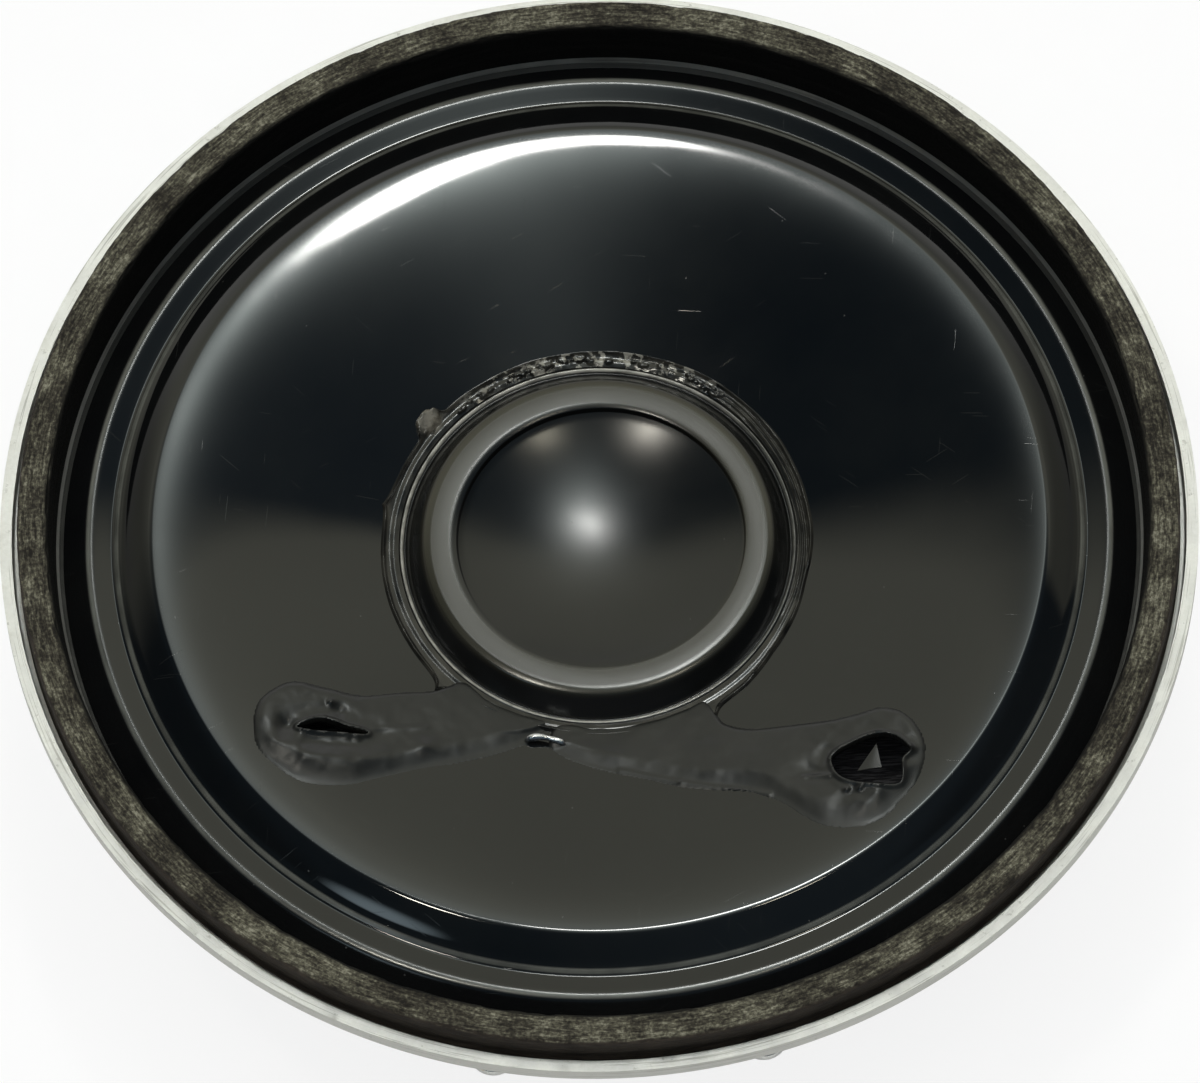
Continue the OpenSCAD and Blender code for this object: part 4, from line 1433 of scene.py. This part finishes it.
def winding():
    """Two layers of wire, wound as helices."""
    z0 = low("voice_coil", 2)
    wire_r = (coil_out_r - coil_r) / 4
    length = z_coil - z0 - 2 * wire_r
    turns = int(length / (2 * wire_r * 1.02))
    t = np.linspace(0, 1, turns * 48 + 1)
    a = 2 * math.pi * turns * t
    parts = []
    for layer, share in enumerate((t, 1 - t)):
        r = coil_r + wire_r * (1 + 2 * layer)
        route = np.stack([r * np.cos(a), r * np.sin(a), z0 + wire_r + length * share], -1)
        parts.append(tube("layer", route, wire_r * 0.98, 6))
    settle(join("coil_winding", parts), "enamelled_wire", "voice_coil", body="cone", angle=80)


def neck_fillet():
    under = film_t / math.cos(math.atan(neck_slope)) + 0.01
    w = 0.8
    z = cone_z(neck_r) - under
    corners = [
        (neck_r, z), (neck_r + w, cone_z(neck_r + w) - under, 0.03),
        (neck_r + 0.25, z - 0.2, 0.4), (neck_r, z - w),
    ]
    made = ring("neck_fillet", corners, 0.12, 300)
    settle(made, "amber_adhesive", "neck_adhesive", body="cone", angle=60)


# Terminals


def board():
    inner_y, outer_r = high("terminal_board", 1), -low("terminal_board", 1)
    half = high("terminal_board", 0)
    drop = math.degrees(math.asin(half / outer_r))
    outline = arc((0, 0), outer_r, -90 - drop, -90 + drop, 40) + [(half, inner_y), (-half, inner_y)]
    made = prism("terminal_board_fibre", outline, z_board, z_floor)
    holes = [circle(at, eyelet_hole_r) for at in TERMINALS.values()]
    drill(made, z_board - 1, z_floor + 1, *holes, circle((0, -terminal_y), rivet_hole_r))
    soften(made, 0.05)
    settle(made, "fibre_board", "terminal_board", body="frame", angle=30)


def rivet():
    top = high("board_rivet", 2)
    z0 = low("board_rivet", 2)
    corners = [
        (0, z0 + 0.02), (0.9, z0, 0.5), (1.5, z_board, 0.03), (rivet_r, z_board), (rivet_r, z_floor_top),
        (1.6, z_floor_top, 0.05), (1.35, top, 0.12), (0.5, top - 0.02, 0.1), (0, top - 0.1),
    ]
    made = lathe("board_rivet_steel", rounded(corners), 64, closed=False, centre=(0, -terminal_y))
    settle(made, "tinned_brass", "board_rivet", body="frame")


def eyelets():
    z0, z1 = low("terminal_eyelets", 2), high("terminal_eyelets", 2)
    corners = [
        (0.6, z0, 0.1), (1.25, z0, 0.06), (1.25, z_lug, 0.04), (eyelet_r, z_lug), (eyelet_r, z_floor),
        (1.45, z_floor, 0.04), (1.4, z1, 0.07), (0.6, z1, 0.1),
    ]
    parts = [lathe("eyelet", rounded(corners, closed=True), 64, centre=at) for at in TERMINALS.values()]
    settle(join("eyelet_pair", parts), "tinned_brass", "terminal_eyelets", body="frame")


def lug(side):
    """Stamped solder lug with a wire hole near its tip."""
    node = "terminal_lug_" + side
    head_r, half_w = 1.6, 1.0
    at = TERMINALS[side]
    tip = (at[0], low(node, 1) + half_w)
    turn = math.degrees(math.asin(half_w / head_r))
    outline = arc(at, head_r, -90 + turn, 270 - turn, 60) + arc(tip, half_w, 180, 360, 30)
    made = prism("lug_" + side, outline, z_lug, z_board)
    drill(made, z_lug - 1, z_board + 1, circle(at, eyelet_hole_r), circle(tip, wire_hole_r))
    soften(made, 0.05, 3)
    settle(made, "tinned_brass", node, body="frame", angle=30)


def solder_dome(side, seed):
    """Solder flowed over the eyelet, with a small peak where the iron left it."""
    node = "solder_joint_" + side
    z0 = low(node, 2)
    top = z_lug - 0.005
    corners = [
        (0, z0), (0.5, z0 + 0.04, 0.4), (1.0, z0 + 0.3, 0.5), (1.33, top - 0.3, 0.5),
        (1.56, top, 0.02), (0.0, top),
    ]
    path = filled(rounded(corners), 0.12)
    made = lathe("solder_dome_" + side, path, 96, closed=False, centre=TERMINALS[side])

    def flowed(p):
        free = step_up(-p[:, 2], -top + 0.05, -top + 0.4)
        return free * 0.06 * (layered(p * 0.9, seed, 2) - 0.6)

    displace(made, flowed)
    settle(made, "solder", node, body="frame", angle=70)


# Stage


def stage():
    """Pale floor that the camera sees as nearly white."""
    half, z = 3000, -0.05
    corners = [(-half, -half, z), (half, -half, z), (half, half, z), (-half, half, z)]
    floor = mesh_object("floor", corners, [(0, 1, 2, 3)])
    p = Paint("floor_paper", Roughness=0.9, Specular_IOR_Level=0.1)
    p.use(Base_Color=p.noise(0.4, 3).ramp(0.3, (0.86, 0.86, 0.86), 0.7, (0.9, 0.9, 0.9)))
    share = p.add("LightPath", {}, "Is Camera Ray") * 0.85
    glow = p.add("Emission", {"Strength": 1.0})
    surface = p.add("MixShader", {0: share, 1: Value(p, p.shader.outputs[0]), 2: glow})
    p.wire(p.tree.nodes["Material Output"], {"Surface": surface})
    floor.data.materials.append(p.material)


def stand(name, data, axes, at):
    """Puts a lamp or a camera at a place in metres, turned to three axes."""
    made = bpy.data.objects.new(name, data)
    bpy.context.scene.collection.objects.link(made)
    made.matrix_world = Matrix.Translation(at) @ Matrix(axes).transposed().to_4x4()
    return made


LAMP_DISTANCE = 1.1


def lamp(name, x, y, size, radiance, colour, turn=0, glossy=True):
    """A soft oval lamp, x degrees sideways and y degrees away from the camera, from straight above.

    Its half sizes and its turn are degrees too.
    """
    data = bpy.data.lights.new(name, "AREA")
    data.shape = "ELLIPSE"
    data.size, data.size_y = (2 * LAMP_DISTANCE * math.tan(math.radians(s)) for s in size)
    data.energy = radiance * math.pi * math.pi * data.size * data.size_y / 4
    data.color = colour
    way = Vector((math.tan(math.radians(x)), math.tan(math.radians(y)), 1)).normalized()
    across = Vector((*polar(1, turn), 0))
    across = (across - way * across.dot(way)).normalized()
    at = way * LAMP_DISTANCE + Vector((0, 0, z_rim * MM))
    made = stand(name, data, (across, way.cross(across), way), at)
    made.visible_glossy = glossy
    made.visible_camera = False


class Sky(Paint):
    """The world's nodes."""

    def __init__(self, world):
        world.use_nodes = True
        self.tree = world.node_tree
        self.shader = self.tree.nodes["Background"]


# Directions and sizes in degrees, other than the window's unit vector
WALL_EDGE = 27.4
GLOW_AT, GLOW_STRENGTH = (2.7, 20), 15.5
WINDOW, WINDOW_SIZE, WINDOW_STRENGTH = (-0.51, -0.438, 0.74), 10, 2.2
HORIZON_TOP, HORIZON_FULL = 34, 16


def room():
    """World: white for the camera. Lamps and reflections see a dark ceiling with a glow round the main
    lamp, a grey-green far wall, a faint window on the camera's side, and a horizon bright on the far side.
    """
    world = bpy.data.worlds.new("room")
    bpy.context.scene.world = world
    p = Sky(world)
    around = p.add("TexCoord", {}, "Generated")
    x, y, z = p.split(around)
    side = p.math("ARCTAN2", x, z) * (180 / math.pi)
    away = p.math("ARCTAN2", y, z) * (180 / math.pi)

    def spot(cx, cy, wide, tall):
        """1 in a direction, fading round it over a width and a height."""
        return (p.length((side - cx) / wide, (away - cy) / tall) * -1).math("EXPONENT")

    line = away + side * 0.07
    soft = ((side * -1) | 0) * 0.12 + 2.2
    wall = line.range(p.math("SUBTRACT", WALL_EDGE, soft), soft + WALL_EDGE)
    tone = (spot(8, 34, 22, 9) * 0.4 + 0.68) * line.range(55, 64, 1, 0.6)
    ceiling = side.range(-20, 20).mix((0.035, 0.06, 0.08), (0.075, 0.11, 0.14))
    upper = wall.mix(ceiling, p.vector("SCALE", (1.0, 1.01, 0.84), tone))
    glow = spot(*GLOW_AT, side.range(1.8, 3.8, 2.35, 2.8), away.range(18, 24, 5.5, 3.2))
    upper = p.vector("ADD", upper, p.vector("SCALE", (0.9, 1.0, 0.96), glow * GLOW_STRENGTH))
    behind = y.range(-0.5, 0.0).mix((0.07, 0.075, 0.08), (0.34, 0.34, 0.33))
    horizon = y.range(0.1, 0.8).mix(behind, (0.95, 0.95, 0.92))
    low_band = z.range(math.sin(math.radians(HORIZON_TOP)), math.sin(math.radians(HORIZON_FULL)))
    light = p.vector("SCALE", low_band.mix(upper, horizon), abs(x).range(0.5, 0.68, 1, 0.45))
    toward = p.vector("DOT_PRODUCT", around, WINDOW, 1)
    window = toward.range(math.cos(math.radians(WINDOW_SIZE)), 1, 0, WINDOW_STRENGTH)
    light = p.vector("ADD", light, p.vector("SCALE", (0.8, 1.0, 1.1), window))
    p.use(Color=p.add("LightPath", {}, "Is Camera Ray").mix(light, (1, 1, 1)), Strength=1.0)


def lights():
    lamp("key_lamp", 2.0, 20.3, (4.0, 1.9), 34, (1.0, 0.985, 0.95), turn=-54)
    lamp("side_lamp_left", 12, -4, (3, 1.6), 22, (1.0, 0.93, 0.74))
    lamp("side_lamp_right", -14, -4, (3, 1.9), 60, (1.0, 0.96, 0.84))
    lamp("soft_fill", 0, -10, (24, 24), 2.9, (1, 1, 1), glossy=False)


def camera():
    """Camera at the photograph's angle, distance and roll."""
    tilt, roll = math.radians(view_tilt), math.radians(view_roll)
    back = Vector((0, -math.sin(tilt), math.cos(tilt)))
    right = Vector((1, 0, 0))
    up = back.cross(right)
    across = right * math.cos(roll) - up * math.sin(roll)
    upright = right * math.sin(roll) + up * math.cos(roll)
    shift_x = (IMAGE_W / 2 - rim_centre_px[0]) / pixels_per_mm
    shift_y = (rim_centre_px[1] - IMAGE_H / 2) / pixels_per_mm
    target = Vector((0, 0, z_rim)) + across * shift_x + upright * shift_y
    data = bpy.data.cameras.new("camera")
    data.sensor_fit = "HORIZONTAL"
    data.sensor_width = SENSOR_W
    data.lens = SENSOR_W * pixels_per_mm * view_distance / IMAGE_W
    data.clip_start = 0.01
    data.clip_end = 20
    made = stand("camera", data, (across, upright, back), (target + back * view_distance) * MM)
    bpy.context.scene.camera = made


bpy.context.scene.view_settings.view_transform = "Standard"
camera()
stage()
room()
lights()

film_diaphragm()
dust_cap()
cap_bead()
lead_strips()
lead_loop()
coil_lead("left", 251, [(-4.6, -8.6), (-8, -8.5)], HOLE_LEFT_AT)
coil_lead("right", 256, [(0.6, -9.9), (6, -11)], HOLE_RIGHT_AT)
flying_lead("left", HOLE_LEFT_AT, (-8.6, -13.6))
flying_lead("right", HOLE_RIGHT_AT, (8.6, -14.6))
gasket()
rim_glue()
steel_frame()
cloth_pad()
top_plate()
magnet()
glue_line("front", z_plate - glue_t, 1)
glue_line("rear", z_magnet, -1)
back_plate()
pole()
former()
winding()
neck_fillet()
board()
rivet()
eyelets()
lug("left")
lug("right")
solder_dome("left", 120)
solder_dome("right", 122)
